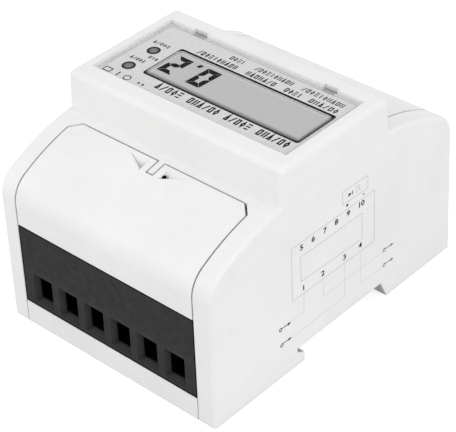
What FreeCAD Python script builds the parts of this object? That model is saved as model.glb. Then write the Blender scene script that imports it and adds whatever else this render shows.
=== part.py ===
import FreeCAD, Part
import math
import os

# Single-phase energy meter for a 35 mm top-hat rail, four modules wide.
# Frame: millimetres, +Z up (display side up, rail side down), origin at the middle of the bottom face.
# -Y is the end with the six small terminals, +Y the end with the four mains terminals.

V = FreeCAD.Vector

# Outside of the housing
WIDTH = 76.0
LENGTH = 100.0
HEIGHT = 65.0
END_DRAFT_DEG = 1.0
SHOULDER_R = 61.0
SHOULDER_SLOPE_DEG = 6.2
CORNER_R = 8.5
SIDE_EDGE_R = 1.2
STEP_Y = 22.0
BLOCK_RISE = 11.1
BLOCK_DRAFT_DEG = 4.1
BLOCK_EDGE_R = 1.8

# Walls, rims and running gaps
WALL = 2.2
SKIN = 2.0
TOP_SKIN = 3.6
RIM = 5.8
RIM_WEB = 1.6
DIVIDER = 2.0
FIT = 0.2
SEAM = 0.4
TOUCH = 0.05
JOIN = 0.5
RIB = 1.5

# Base plate and rail seat
FLOOR = 2.0
END_LIP = 7.0
RAIL_WIDTH = 35.0
RAIL_PLAY = 0.5
RAIL_CENTRE_Y = 0.2
RAIL_CEILING = 5.7
RAIL_PLATE = 2.0
LIP_REACH = 2.6
LIP_TIP = 2.9
RAIL_GAP = 1.5
FAR_SLANT = 2.6
RIB_INNER = 5.0
RIB_OUTER = 4.0

# Spring-loaded rail clip
CLIP_WIDTH = 18.0
CLIP_BOTTOM = 0.4
CLIP_GRIP = 2.3
CLIP_WING = 2.0
CLIP_WING_THICK = 1.4
CLIP_WING_LENGTH = 15.6
CLIP_BEVEL = 1.6
CLIP_TRAVEL = 3.0
CLIP_WINDOW = 6.4
CLIP_EYE = 6.0
CLIP_EYE_DEPTH = 1.8
CLIP_BRIDGE = 1.6
POST = 1.8
SPRING_PLACE = 4.0
SPRING_TURNS = 7
SPRING_WIRE_R = 0.3
SPRING_COIL_R = 1.5
SPRING_LENGTH = 11.3

# Terminal covers
SHOULDER_STRIP = 3.0
COVER_HEIGHT = 21.2
COVER_CHAMFER = 3.0
COVER_GAP = 0.5
HINGE_DEPTH = 2.8
HINGE_RISE = 4.6
HINGE_PIN_R = 1.0
HINGE_PLAY = 0.05
HINGE_EAR_R = 1.9
HINGE_EAR = 2.4
LEDGE_REACH = 1.5
LEDGE_THICK = 1.5
STIFFENER = 1.2
STIFFENER_DEPTH = 1.6

# Seal tongue, its slot and the finger pockets beside it
TONGUE = 1.9
TONGUE_REACH = 4.7
TONGUE_THICK = 3.0
LUG = 2.0
SEAL_HOLE_R = 1.0
SEAL_HOLE_PLACE = 3.2
SEAL_HOLE_DEPTH = 1.6
POCKET_REACH = 6.8
POCKET_WIDTH = 3.7
POCKET_DEPTH = 3.0
POCKET_OVERSHOOT = 1.6
PAD_THICK = 4.4
PAD_MARGIN = 0.6
PAD_TAIL = 1.4

# Window, label and display
WINDOW_SIDE_EDGE = 3.8
WINDOW_NEAR_EDGE = 5.9
WINDOW_FAR_EDGE = 5.8
WINDOW_LEDGE = 1.2
WINDOW_THICK = 0.9
WINDOW_SINK = 0.15
WINDOW_STEP = 1.2
WINDOW_STEP_DROP = 0.2
SNAP_X = 23.0
SNAP = 4.2
SNAP_REACH = 0.8
LABEL_THICK = 0.3
SHOW_LAMP_GAP = 4.2
SHOW_DEPTH = 14.3
SHOW_SIDE = 2.4
SHOW_NEAR_SIDE = 7.3
SHOW_CORNER_R = 1.5
LCD_BORDER = 0.9
LCD_THICK = 2.8
LCD_SINK = 0.15
LCD_WALL = 1.2
LCD_STRIP = 2.0
LED_R = 1.5
LED_FLANGE = 0.35
LED_HEIGHT = 5.3
LED_LEAD_PITCH = 2.54
LEAD = 0.5
LED_SIDE = 6.4
LED_ROW = (16.9, 7.2)

# Boards
BOARD = 1.6
BOARD_PLAY = 1.0
BOARD_DROP = 15.0
BOARD_SPACING = 19.0
BOARD_SCREW_SIDE = 4.2
BOARD_SCREW_END = 4.0
BOARD_BOSS_R = 2.4
BOARD_SCREW_R = 1.2
BOARD_SCREW_LENGTH = 7.0
BOARD_HEAD = 1.6
CASE_SCREW_SIDE = 3.8
CASE_SCREW_RAIL = 5.5
CASE_BOSS_R = 3.0
CASE_SCREW_R = 1.4
CASE_HEAD_R = 2.8
CASE_HEAD = 2.0
CASE_PAD = 2.0
CASE_PAD_R = 4.8
CROSS = 3.2
CROSS_BLADE = 0.7

# Components on the boards
CHIP_THICK = 1.9
CHIP_STANDOFF = 0.15
CHIP_LEG = 0.4
CHIP_LEG_THICK = 0.25
CHIP_LEG_REACH = 1.0
METERING_CHIP = (22.8, 13.0, 8.2, 5.3, 6)
CONTROLLER_CHIP = (24.8, 15.0, 10.0, 7.6, 7)
CRYSTAL_LENGTH = 6.4
CRYSTAL_WIDTH = 3.0
CRYSTAL_HEIGHT = 3.6
CRYSTAL_PLACE = 9.5
CRYSTAL_GAP = 4.7
FILM_HEIGHT = 14.0
FILM_LENGTH = 18.0
FILM_WIDTH = 8.0
FILM_EDGE = 0.8
FILM_PLACE = (4.8, 22.0)
CAN_R = 4.0
CAN_HEIGHT = 15.0
CAN_GROOVE = 0.4
CAN_CRIMP = 1.4
CAN_PLACE = 10.5
VARISTOR_R = 5.5
VARISTOR_THICK = 3.6
VARISTOR_RISE = 7.5
VARISTOR_PLACE = (31.8, 9.5)
OPTO_X = 2.3
OPTO_Y = -9.2
OPTO_REACH = 3.2
OPTO_HEIGHT = 4.0
LINK_PLACE = 5.05
LINK_WIDTH = 2.5
LINK_PITCH = 2.54
LINK_PINS = 5
LINK_HEIGHT = 8.5

# Terminal blocks
BLOCK_SET_BACK = 0.1
BLOCK_FRONT = 2.0
BLOCK_FLOOR = 1.1
BLOCK_REAR = 2.0
DECK_SHARE = 0.6964
ENTRY_SILL = 1.6
BAR_OVERLAP = 0.6
LEAST_WIRE = 1.0
NUT_GAP = 0.6
BAR_NOSE = 1.0
BAR_INSIDE = 3.0
BAR_END = 7.0
SHUNT_LENGTH = 8.0
SENSE_PIN = 0.8
AUX_PIN = 1.2
PIN_RISE = 0.8
SHUNT_THICK = 1.5
HEAD_COVER = 0.5
HEAD_SEAT = 2.0


# Places worked out from the sizes above
HALF_W = WIDTH / 2
STEP_Z = HEIGHT - BLOCK_RISE
HALF_L = LENGTH / 2
RIM_X = HALF_W - RIM
INNER_X = HALF_W - WALL
END_DRAFT = math.radians(END_DRAFT_DEG)
END_UP = V(0, math.sin(END_DRAFT), math.cos(END_DRAFT))
END_IN = V(0, math.cos(END_DRAFT), -math.sin(END_DRAFT))
END_FOOT = V(0, -HALF_L, 0)
SLOPE = math.radians(SHOULDER_SLOPE_DEG)
ARC_CENTRE = V(0, -STEP_Y + SHOULDER_R * math.sin(SLOPE), STEP_Z - SHOULDER_R * math.cos(SLOPE))
DIVIDER_Y = STEP_Y - DIVIDER
PLATE_Z = RAIL_CEILING + RAIL_PLATE
PLATE_Y = STEP_Y - TOUCH
LIP_ROOT = RAIL_CEILING - RAIL_GAP
CLIP_TOP = RAIL_CEILING - RAIL_GAP
SLOT_NEAR = RAIL_CENTRE_Y - RAIL_WIDTH / 2
SLOT_FAR = RAIL_CENTRE_Y + RAIL_WIDTH / 2 + RAIL_PLAY / 2
WING_Y = SLOT_FAR + FAR_SLANT + FLOOR
COVER_TOP_Y = STEP_Y + SHOULDER_STRIP
COVER_LOW_Z = STEP_Z - COVER_HEIGHT
HINGE_Y = -HALF_L + HINGE_DEPTH
HINGE_Z = COVER_LOW_Z + HINGE_RISE
BLOCK_TOP_Y = STEP_Y - (HEIGHT - STEP_Z) * math.tan(math.radians(BLOCK_DRAFT_DEG))
WINDOW_X = HALF_W - WINDOW_SIDE_EDGE
WINDOW_NEAR = WINDOW_NEAR_EDGE - BLOCK_TOP_Y
WINDOW_FAR = BLOCK_TOP_Y - WINDOW_FAR_EDGE
SHOW_RIGHT = WINDOW_X - SHOW_SIDE
SHOW_NEAR = WINDOW_NEAR + SHOW_NEAR_SIDE
SHOW_FAR = SHOW_NEAR + SHOW_DEPTH
LED_X = LED_SIDE - WINDOW_X
SHOW_LEFT = LED_X + LED_R + SHOW_LAMP_GAP
LED_Y = tuple(WINDOW_NEAR + place for place in LED_ROW)
LEDGE_Z = HEIGHT - WINDOW_SINK - WINDOW_THICK - LABEL_THICK - 2 * TOUCH
LABEL_Z = LEDGE_Z + TOUCH
WINDOW_Z = LABEL_Z + LABEL_THICK + TOUCH
LCD_TOP = LABEL_Z - LCD_SINK
BOARD_X = INNER_X - BOARD_PLAY
BOARD_Y = DIVIDER_Y - BOARD_PLAY
MAIN_BOARD_Z = HEIGHT - BOARD_DROP
POWER_BOARD_Z = MAIN_BOARD_Z - BOARD_SPACING
BOARD_SCREW_X = INNER_X - BOARD_SCREW_SIDE
BOARD_SCREW_Y = DIVIDER_Y - BOARD_SCREW_END
CASE_SCREW_X = INNER_X - CASE_SCREW_SIDE
CASE_SCREW_Y = RAIL_WIDTH / 2 - CASE_SCREW_RAIL
MAIN_BOARD_TOP = MAIN_BOARD_Z + BOARD
POWER_BOARD_TOP = POWER_BOARD_Z + BOARD
ON_BOARD = POWER_BOARD_TOP + TOUCH
BOSS_FOOT = PLATE_Z + CASE_PAD + TOUCH
CASE_SCREW_TIP = (BOSS_FOOT + POWER_BOARD_Z) / 2
BLOCK_BOTTOM = END_LIP + TOUCH
BLOCK_X = RIM_X - FIT
BLOCK_REAR_Y = STEP_Y + FIT
BLOCK_FRONT_TOP = COVER_LOW_Z - COVER_GAP
# The lower edge of a cover swings below its rest height; the top of the block clears that arc.
SWING_DIP = math.hypot(HINGE_DEPTH, HINGE_RISE) - HINGE_RISE
BLOCK_TOP = BLOCK_FRONT_TOP - SWING_DIP
DECK_Y = STEP_Y + DECK_SHARE * (HALF_L - STEP_Y)


class Terminals:
    """Sizes of one row of rising-cage terminals."""

    def __init__(self, ways, cheek, cell_wall, entry_rim, entry_height, cage_wall, cage_plate,
                 cage_nut, cage_length, screw_r, head_r, head, thread_pitch, turns, bar_gap, bar_thick):
        self.ways = ways
        self.pitch = 2 * (BLOCK_X - cheek) / ways
        self.cell_width = self.pitch - cell_wall
        self.entry_width = self.cell_width - 2 * entry_rim
        self.entry_low = END_LIP + ENTRY_SILL
        self.entry_high = self.entry_low + entry_height
        self.cage_wall = cage_wall
        self.cage_plate = cage_plate
        self.cage_length = cage_length
        self.screw_y = -(DECK_Y - BLOCK_FRONT + BLOCK_REAR_Y + BLOCK_REAR) / 2
        self.screw_r = screw_r
        self.head_r = head_r
        self.head = head
        self.travel = thread_pitch * turns
        self.bar_width = self.cell_width - 2 * (FIT + cage_wall + bar_gap)
        self.bar_thick = bar_thick
        self.cage_low = BLOCK_BOTTOM + BLOCK_FLOOR + FIT
        least = self.cage_low + cage_plate + self.travel + LEAST_WIRE
        self.bar_low = max(self.entry_high - BAR_OVERLAP, least)
        self.bar_high = self.bar_low + bar_thick
        self.nut_low = self.bar_high + NUT_GAP
        self.cage_high = self.nut_low + cage_nut
        self.ceiling = self.cage_high + self.travel + FIT
        self.head_low = self.ceiling + HEAD_SEAT + TOUCH
        self.deck = self.head_low + head + HEAD_COVER

    def centres(self):
        """Middle of each way along X, from +X, the left as one reads the display."""
        first = 0.5 * self.pitch * (self.ways - 1)
        return [first - self.pitch * n for n in range(self.ways)]


AUX = Terminals(ways=6, cheek=2.6, cell_wall=1.6, entry_rim=0.55, entry_height=9.3, cage_wall=0.8,
                cage_plate=1.0, cage_nut=2.4, cage_length=7.0, screw_r=1.75, head_r=2.8, head=2.6,
                thread_pitch=0.6, turns=12, bar_gap=1.1, bar_thick=1.0)
MAINS = Terminals(ways=4, cheek=0.0, cell_wall=2.8, entry_rim=0.9, entry_height=10.8, cage_wall=1.6,
                  cage_plate=1.8, cage_nut=3.0, cage_length=9.0, screw_r=3.0, head_r=4.5, head=2.8,
                  thread_pitch=1.0, turns=7, bar_gap=0.3, bar_thick=2.5)
AUX_PIN_Y = -DIVIDER_Y + BAR_INSIDE
LIVE_IN_X, LIVE_OUT_X, NEUTRAL_IN_X, NEUTRAL_OUT_X = MAINS.centres()
SENSE_Y = BAR_END + 1.5 * SENSE_PIN
SHUNT_X0 = LIVE_OUT_X + MAINS.bar_width / 2
SHUNT_X1 = LIVE_IN_X - MAINS.bar_width / 2
SENSE_X = (SHUNT_X0 + SENSE_PIN, SHUNT_X1 - SENSE_PIN)
TAP_X = (NEUTRAL_IN_X + NEUTRAL_OUT_X) / 2
LINK_X = LINK_PLACE - BOARD_X
CAN_X = (LINK_X + LINK_WIDTH / 2 + TAP_X - SENSE_PIN / 2) / 2
PIN_TOP = POWER_BOARD_TOP + PIN_RISE


def box(x0, x1, y0, y1, z0, z1):
    """Upright box between two corners."""
    return Part.makeBox(x1 - x0, y1 - y0, z1 - z0, V(x0, y0, z0))


def post(radius, x, y, z0, z1):
    """Upright cylinder."""
    return Part.makeCylinder(radius, z1 - z0, V(x, y, z0))


def rod_x(radius, y, z, x0, x1):
    """Cylinder lying along X."""
    return Part.makeCylinder(radius, x1 - x0, V(x0, y, z), V(1, 0, 0))


def prism_x(points, x0, x1):
    """Solid whose (y, z) outline is drawn out along X."""
    corners = [V(x0, y, z) for y, z in points]
    return Part.Face(Part.makePolygon(corners + corners[:1])).extrude(V(x1 - x0, 0, 0))


def prism_z(points, z0, z1):
    """Solid whose (x, y) outline is drawn out along Z."""
    corners = [V(x, y, z0) for x, y in points]
    return Part.Face(Part.makePolygon(corners + corners[:1])).extrude(V(0, 0, z1 - z0))


def polyhedron(corners, faces):
    """Closed solid with flat faces, each given by the numbers of its corners."""
    sides = [Part.Face(Part.makePolygon([corners[n] for n in face + face[:1]])) for face in faces]
    solid = Part.makeSolid(Part.makeShell(sides))
    if solid.Volume < 0:
        solid.reverse()
    return solid


def turned(points, x, y):
    """Solid of revolution about an upright axis from an (r, z) outline."""
    corners = [V(x + r, y, z) for r, z in points]
    face = Part.Face(Part.makePolygon(corners + corners[:1]))
    return face.revolve(V(x, y, 0), V(0, 0, 1), 360)


def joined(shapes):
    """Shapes fused to one, with split faces merged."""
    return shapes[0].fuse(shapes[1:]).removeSplitter()


def far(shape):
    """The same shape at the other end of the meter."""
    return shape.mirror(V(0, 0, 0), V(0, 1, 0))


def corner_centre():
    """Centre of the round that joins the end face to the shoulder, the same for every inset."""
    start = END_FOOT + END_IN * CORNER_R - ARC_CENTRE
    reach = SHOULDER_R - CORNER_R
    half_b = start.dot(END_UP)
    return ARC_CENTRE + start + END_UP * (math.sqrt(half_b ** 2 - start.dot(start) + reach ** 2) - half_b)


def shoulder_z(y, inset):
    """Height of the shoulder's surface, sunk by an inset, at a place along Y."""
    radius = SHOULDER_R - inset
    return ARC_CENTRE.z + math.sqrt(radius ** 2 - (y - ARC_CENTRE.y) ** 2)


def end_edges(inset, y_in, z_low):
    """End line, corner round and shoulder arc of the near end, sunk by an inset."""
    middle = corner_centre()
    small = CORNER_R - inset
    large = SHOULDER_R - inset
    foot = END_FOOT + END_IN * inset
    low = foot + END_UP * ((z_low - foot.z) / END_UP.z)
    out = (middle - ARC_CENTRE).normalize()
    on_end = middle - END_IN * small
    on_arc = middle + out * small
    half_way = (out - END_IN).normalize()
    top = V(0, y_in, shoulder_z(y_in, inset))
    arc_half = (out + (top - ARC_CENTRE).normalize()).normalize()
    return [Part.makeLine(low, on_end),
            Part.Arc(on_end, middle + half_way * small, on_arc).toShape(),
            Part.Arc(on_arc, ARC_CENTRE + arc_half * large, top).toShape()]


def under_shoulder(inset, x0, x1, y_in, z_low):
    """Everything below the near shoulder, sunk by an inset, from the end face to y_in."""
    edges = end_edges(inset, y_in, z_low)
    top = edges[-1].Vertexes[-1].Point
    low = edges[0].Vertexes[0].Point
    corner = V(0, y_in, z_low)
    wire = Part.Wire(edges + [Part.makeLine(top, corner), Part.makeLine(corner, low)])
    face = Part.Face(wire)
    face.translate(V(x0, 0, 0))
    return face.extrude(V(x1 - x0, 0, 0))


def shoulder_skin(outer, inner, x0, x1, y0, y1):
    """Curved sheet between two insets, above the foot of the cover, cut to a stretch of Y."""
    outside = under_shoulder(outer, x0, x1, y1, 0)
    inside = under_shoulder(inner, x0 - 1, x1 + 1, y1 + 1, -1)
    return outside.cut(inside).common(box(x0, x1, y0, y1, COVER_LOW_Z, HEIGHT))


def slot_points():
    """(y, z) outline of the rail slot: fixed hook at -Y, slanted wall at +Y."""
    return [(SLOT_NEAR + LIP_REACH, -1), (SLOT_NEAR + LIP_REACH, LIP_TIP), (SLOT_NEAR, LIP_ROOT),
            (SLOT_NEAR, RAIL_CEILING), (SLOT_FAR, RAIL_CEILING), (SLOT_FAR + FAR_SLANT, 0),
            (SLOT_FAR + FAR_SLANT, -1)]


def envelope():
    """Outside of the meter: rounded shoulders with the centre block standing out of them."""
    middle = ARC_CENTRE.y
    edges = end_edges(0, middle, 0)
    mirrored = [edge.mirror(V(0, 0, 0), V(0, 1, 0)) for edge in edges]
    top = V(0, middle, shoulder_z(middle, 0))
    low = V(0, -HALF_L, 0)
    ring = edges + mirrored + [Part.makeLine(top, V(0, -top.y, top.z)), Part.makeLine(low, V(0, -low.y, 0))]
    face = Part.Face(Part.Wire(Part.__sortEdges__(ring)))
    face.translate(V(-HALF_W, 0, 0))
    body = face.extrude(V(WIDTH, 0, 0))
    rims = [e for e in body.Edges if on_side(e) and e.CenterOfMass.z > 1]
    body = body.makeFillet(SIDE_EDGE_R, rims)
    return body.fuse(centre_block())


def on_side(edge):
    """True for an edge that lies in one of the two side faces."""
    return all(abs(abs(v.Point.x) - HALF_W) < 1e-6 for v in edge.Vertexes)


def centre_block():
    """Block between the shoulders, with drafted ends and rounded edges."""
    lean = math.tan(math.radians(BLOCK_DRAFT_DEG))
    low = STEP_Z - 3 * SIDE_EDGE_R
    outline = [(-STEP_Y - (STEP_Z - low) * lean, low), (-STEP_Y + (HEIGHT - STEP_Z) * lean, HEIGHT)]
    outline += [(-y, z) for y, z in reversed(outline)]
    block = prism_x(outline, -HALF_W, HALF_W)
    edges = [e for e in block.Edges if e.BoundBox.ZMax > low + 1]
    return block.makeFillet(BLOCK_EDGE_R, edges)


def cover_opening(gap):
    """Column over the opening that a terminal cover fills, with its two cut corners."""
    half = RIM_X - gap
    top = -COVER_TOP_Y - gap
    cut = COVER_CHAMFER
    outline = [(-half, -HALF_L - 1), (half, -HALF_L - 1), (half, top - cut), (half - cut, top),
               (cut - half, top), (-half, top - cut)]
    return prism_z(outline, -1, HEIGHT)


def terminal_bay():
    """Hollow behind one terminal end, with the cored rims beside it."""
    low = -1
    bay = under_shoulder(SKIN, -RIM_X, RIM_X, -STEP_Y, low)
    cores = [under_shoulder(WALL, x0, x1, -STEP_Y, low)
             for x0, x1 in ((RIM_X + RIM_WEB, INNER_X), (-INNER_X, -RIM_X - RIM_WEB))]
    pins = rod_x(HINGE_PIN_R + HINGE_PLAY, HINGE_Y, HINGE_Z, -RIM_X - RIM_WEB - 0.1, RIM_X + RIM_WEB + 0.1)
    foot = box(-INNER_X, INNER_X, -STEP_Y - 0.1, -DIVIDER_Y + 0.1, low, PLATE_Z + FIT)
    return bay.fuse(cores + [cover_opening(0), pins, foot])


def cover_ledge():
    """Lip under the top edge of the cover, and the seal tongue that stands out over it."""
    half = RIM_X + JOIN
    ledge = shoulder_skin(SKIN + FIT, SKIN + FIT + LEDGE_THICK, -half, half, -COVER_TOP_Y - LEDGE_REACH,
                          -STEP_Y + JOIN)
    tongue = shoulder_skin(0, TONGUE_THICK, -TONGUE / 2, TONGUE / 2, -COVER_TOP_Y - TONGUE_REACH,
                           -STEP_Y + JOIN)
    return [ledge, tongue.cut(seal_hole())]


def seal_hole():
    """Bore for the sealing wire, across the tongue and the two lugs of the cover."""
    y = -COVER_TOP_Y - SEAL_HOLE_PLACE
    reach = TONGUE / 2 + LUG + SEAM + 1
    return rod_x(SEAL_HOLE_R, y, shoulder_z(y, 0) - SEAL_HOLE_DEPTH, -reach, reach)


def room():
    """Hollow for the boards, under the centre block."""
    top = HEIGHT - TOP_SKIN
    lean = (top - STEP_Z) * math.tan(math.radians(BLOCK_DRAFT_DEG))
    half = [(DIVIDER_Y, -1), (DIVIDER_Y, STEP_Z), (DIVIDER_Y - lean, top)]
    return prism_x(half + [(-y, z) for y, z in reversed(half)], -INNER_X, INNER_X)


def window_seat():
    """Rebate, opening and snap notches in the top for the window."""
    rebate = box(-WINDOW_X, WINDOW_X, WINDOW_NEAR, WINDOW_FAR, LEDGE_Z, HEIGHT + 1)
    edge = WINDOW_LEDGE
    through = box(edge - WINDOW_X, WINDOW_X - edge, WINDOW_NEAR + edge, WINDOW_FAR - edge,
                  HEIGHT - TOP_SKIN - 1, HEIGHT)
    notches = [box(x - SNAP / 2 - FIT, x + SNAP / 2 + FIT, WINDOW_FAR - edge, WINDOW_FAR + SNAP_REACH,
                   HEIGHT - TOP_SKIN - 1, HEIGHT + 1) for x in (-SNAP_X, SNAP_X)]
    return rebate.fuse([through] + notches)


def case_posts():
    """Four screw posts on the side walls, each with its web and bore."""
    top = POWER_BOARD_Z - TOUCH
    inside = box(-INNER_X - JOIN, INNER_X + JOIN, -HALF_L, HALF_L, 0, HEIGHT)
    posts = []
    for x, y in four(CASE_SCREW_X, CASE_SCREW_Y):
        wall = math.copysign(INNER_X + JOIN, x)
        web = box(min(x, wall), max(x, wall), y - RIB / 2, y + RIB / 2, BOSS_FOOT, top)
        bore = post(CASE_SCREW_R + TOUCH, x, y, 0, CASE_SCREW_TIP + 1)
        posts.append(post(CASE_BOSS_R, x, y, BOSS_FOOT, top).common(inside).fuse(web).cut(bore))
    return posts


def board_posts():
    """Four posts under the top that carry the display board."""
    bore_top = MAIN_BOARD_Z + BOARD_SCREW_LENGTH + JOIN
    return [post(BOARD_BOSS_R, x, y, MAIN_BOARD_TOP + TOUCH, HEIGHT - TOP_SKIN + JOIN)
            .cut(post(BOARD_SCREW_R + TOUCH, x, y, 0, bore_top))
            for x, y in four(BOARD_SCREW_X, BOARD_SCREW_Y)]


def four(x, y):
    """Four places, mirrored in X and Y."""
    return [(x, y), (-x, y), (-x, -y), (x, -y)]


def bar_slots(row, y0, y1):
    """Slots along Y that the contact bars of one row pass through."""
    return [box(x - row.bar_width / 2 - FIT, x + row.bar_width / 2 + FIT, y0, y1, row.bar_low - FIT,
                row.bar_high + FIT) for x in row.centres()]


def main_housing():
    """Upper shell: side walls, shoulders, centre block and the two open ends."""
    shell = envelope().cut([room(), terminal_bay(), far(terminal_bay()), window_seat()])
    shell = shell.cut(prism_x(slot_points(), -HALF_W - 1, HALF_W + 1))
    extra = cover_ledge()
    extra += [far(piece) for piece in extra]
    shell = shell.fuse(extra + case_posts() + board_posts())
    slots = bar_slots(AUX, -STEP_Y - 0.1, -DIVIDER_Y + 0.1)
    slots += bar_slots(MAINS, DIVIDER_Y - 0.1, STEP_Y + 0.1)
    return shell.cut(slots).removeSplitter()


def base_housing():
    """Back plate: two hollow feet, the rail slot between them and the screw pads."""
    mid_x = INNER_X - FIT
    under = box(-HALF_W, HALF_W, -HALF_L, HALF_L, 0, END_LIP)
    foot = under_shoulder(0, -BLOCK_X, BLOCK_X, -PLATE_Y, 0).common(under)
    plate = box(-mid_x, mid_x, -PLATE_Y, PLATE_Y, 0, PLATE_Z)
    base = foot.fuse([far(foot), plate])
    base = base.cut(foot_hollows() + [prism_x(slot_points(), -HALF_W, HALF_W)])
    inside = box(-mid_x, mid_x, -HALF_L, HALF_L, 0, HEIGHT)
    pads = [post(CASE_PAD_R, x, y, PLATE_Z - JOIN, PLATE_Z + CASE_PAD).common(inside)
            for x, y in four(CASE_SCREW_X, CASE_SCREW_Y)]
    base = base.fuse(foot_ribs() + pads)
    base = base.cut(clip_channel()).fuse(spring_post())
    screws = [post(CASE_HEAD_R + FIT, x, y, 0, RAIL_CEILING + CASE_HEAD + FIT)
              .fuse(post(CASE_SCREW_R + FIT, x, y, 0, HEIGHT)) for x, y in four(CASE_SCREW_X, CASE_SCREW_Y)]
    return base.cut(screws).removeSplitter()


def foot_hollows():
    """Hollows above the floor of the two feet."""
    half = BLOCK_X - FLOOR
    near = box(-half, half, -HALF_L + FLOOR + FIT, -PLATE_Y, FLOOR, HEIGHT)
    under = box(-half, half, -PLATE_Y - 1, SLOT_NEAR - FLOOR, FLOOR, RAIL_CEILING)
    over = prism_x([(WING_Y, FLOOR), (PLATE_Y + 1, FLOOR), (PLATE_Y + 1, RAIL_CEILING),
                    (WING_Y - FAR_SLANT, RAIL_CEILING)], -half, half)
    return [near, far(near), under, over]


def foot_ribs():
    """Cross ribs that carry the terminal blocks, and the one that carries the spring post."""
    half = BLOCK_X - FLOOR + JOIN
    inner = PLATE_Y + RIB_INNER
    outer = HALF_L - FLOOR - RIB_OUTER
    low = FLOOR - JOIN
    near = [box(-half, half, -y - RIB, -y, low, END_LIP) for y in (inner, outer - RIB)]
    there = [far(rib) for rib in near]
    return near + there + [box(-half, half, spring_end(), spring_end() + POST, low, END_LIP)]


def clip_front():
    """Tip of the rail clip, which reaches under the edge of the rail."""
    return SLOT_FAR - CLIP_GRIP


def clip_window_start():
    """Near end of the window in the clip, where the spring pushes."""
    return PLATE_Y + SPRING_PLACE


def spring_end():
    """Face of the fixed post that the spring leans on."""
    return clip_window_start() + SPRING_LENGTH + 2 * TOUCH


def clip_channel():
    """Room for the clip through the far foot, open below, with a wider part for its wings."""
    half = CLIP_WIDTH / 2 + FIT
    wide = half + CLIP_WING
    narrow = box(-half, half, SLOT_FAR - 1, HALF_L + 1, -1, CLIP_TOP + FIT)
    wings = box(-wide, wide, PLATE_Y + FIT, HALF_L - FLOOR - FIT, FLOOR, CLIP_TOP + FIT)
    return narrow.fuse(wings)


def spring_post():
    """Post that hangs into the window of the clip and holds the far end of the spring."""
    return box(-CLIP_WINDOW / 2 + 2 * FIT, CLIP_WINDOW / 2 - 2 * FIT, spring_end(), spring_end() + POST,
               CLIP_BOTTOM + FIT, END_LIP - 1)


def rail_clip():
    """Sliding clip: bevelled tip, two wings, spring window and an eye for a screwdriver."""
    half = CLIP_WIDTH / 2
    tip = clip_front()
    tail = HALF_L - 2 * FIT
    outline = [(tip, CLIP_BOTTOM), (tip, CLIP_TOP - CLIP_BEVEL), (SLOT_FAR, CLIP_TOP), (tail, CLIP_TOP),
               (tail, CLIP_BOTTOM)]
    plate = prism_x(outline, -half, half)
    wing_y = PLATE_Y + 2 * FIT
    wings = box(-half - CLIP_WING, half + CLIP_WING, wing_y, wing_y + CLIP_WING_LENGTH, FLOOR + FIT,
                FLOOR + FIT + CLIP_WING_THICK)
    start = clip_window_start()
    end = spring_end() + POST + CLIP_TRAVEL / 3
    window = box(-CLIP_WINDOW / 2, CLIP_WINDOW / 2, start, end, -1, HEIGHT)
    eye_y = end + CLIP_BRIDGE
    eye = box(-CLIP_EYE / 2, CLIP_EYE / 2, eye_y, eye_y + CLIP_EYE_DEPTH, -1, HEIGHT)
    return plate.fuse(wings).cut([window, eye]).removeSplitter()


def rail_clip_spring():
    """Compression spring that lies along Y in the window of the clip."""
    length = SPRING_LENGTH - 2 * SPRING_WIRE_R
    helix = Part.makeHelix(length / SPRING_TURNS, length, SPRING_COIL_R)
    ring = Part.Wire(Part.makeCircle(SPRING_WIRE_R, V(SPRING_COIL_R, 0, 0), V(0, 1, 0)))
    coil = Part.Wire(helix).makePipeShell([ring], True, True)
    coil.rotate(V(0, 0, 0), V(1, 0, 0), -90)
    middle = (CLIP_BOTTOM + CLIP_TOP) / 2
    coil.translate(V(0, clip_window_start() + TOUCH + SPRING_WIRE_R, middle))
    return coil


def lug_pad():
    """Thick patch under the cover that carries the lugs and the finger pockets."""
    half = TONGUE / 2 + SEAM + LUG + POCKET_REACH + PAD_MARGIN
    start = -COVER_TOP_Y - LEDGE_REACH - FIT
    return shoulder_skin(SKIN / 2, PAD_THICK, -half, half, start - POCKET_WIDTH - PAD_TAIL, start)


def finger_pocket(side):
    """Three-sided hollow beside a lug, deepest against it, drawn on beyond the surface."""
    wall = side * (TONGUE / 2 + SEAM + LUG)
    start = -COVER_TOP_Y - LEDGE_REACH
    end = start - POCKET_WIDTH
    deep_y = (start + end) / 2
    deep = V(wall, deep_y, shoulder_z(deep_y, POCKET_DEPTH))
    rim = [V(wall + side * POCKET_REACH, start, shoulder_z(start, 0)), V(wall, start, shoulder_z(start, 0)),
           V(wall, end, shoulder_z(end, 0))]
    corners = [deep] + [deep + (point - deep) * POCKET_OVERSHOOT for point in rim]
    return polyhedron(corners, [[1, 2, 3], [0, 1, 2], [0, 2, 3], [0, 3, 1]])


def terminal_cover():
    """Hinged cover over a terminal end: curved sheet, hinge ears and pins, lugs for the seal."""
    half = RIM_X - SEAM
    sheet = shoulder_skin(0, SKIN, -half, half, -HALF_L, -COVER_TOP_Y).common(cover_opening(SEAM))
    inside = under_shoulder(SKIN / 2, -RIM_X - RIM, RIM_X + RIM, -STEP_Y, 0)
    deep = SKIN + STIFFENER_DEPTH
    start = HINGE_Y + HINGE_EAR_R + 1
    ribs = [shoulder_skin(SKIN / 2, deep, x, x + STIFFENER, start, lug_start())
            for x in (JOIN - half, half - JOIN - STIFFENER)]
    cover = sheet.fuse([piece.common(inside) for piece in cover_hinge(half)] + ribs + [lug_pad()])
    slot_half = TONGUE / 2 + SEAM
    slot = box(-slot_half, slot_half, -COVER_TOP_Y - TONGUE_REACH - SEAM, 0, 0, HEIGHT)
    return cover.cut([slot, finger_pocket(1), finger_pocket(-1), seal_hole()]).removeSplitter()


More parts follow.
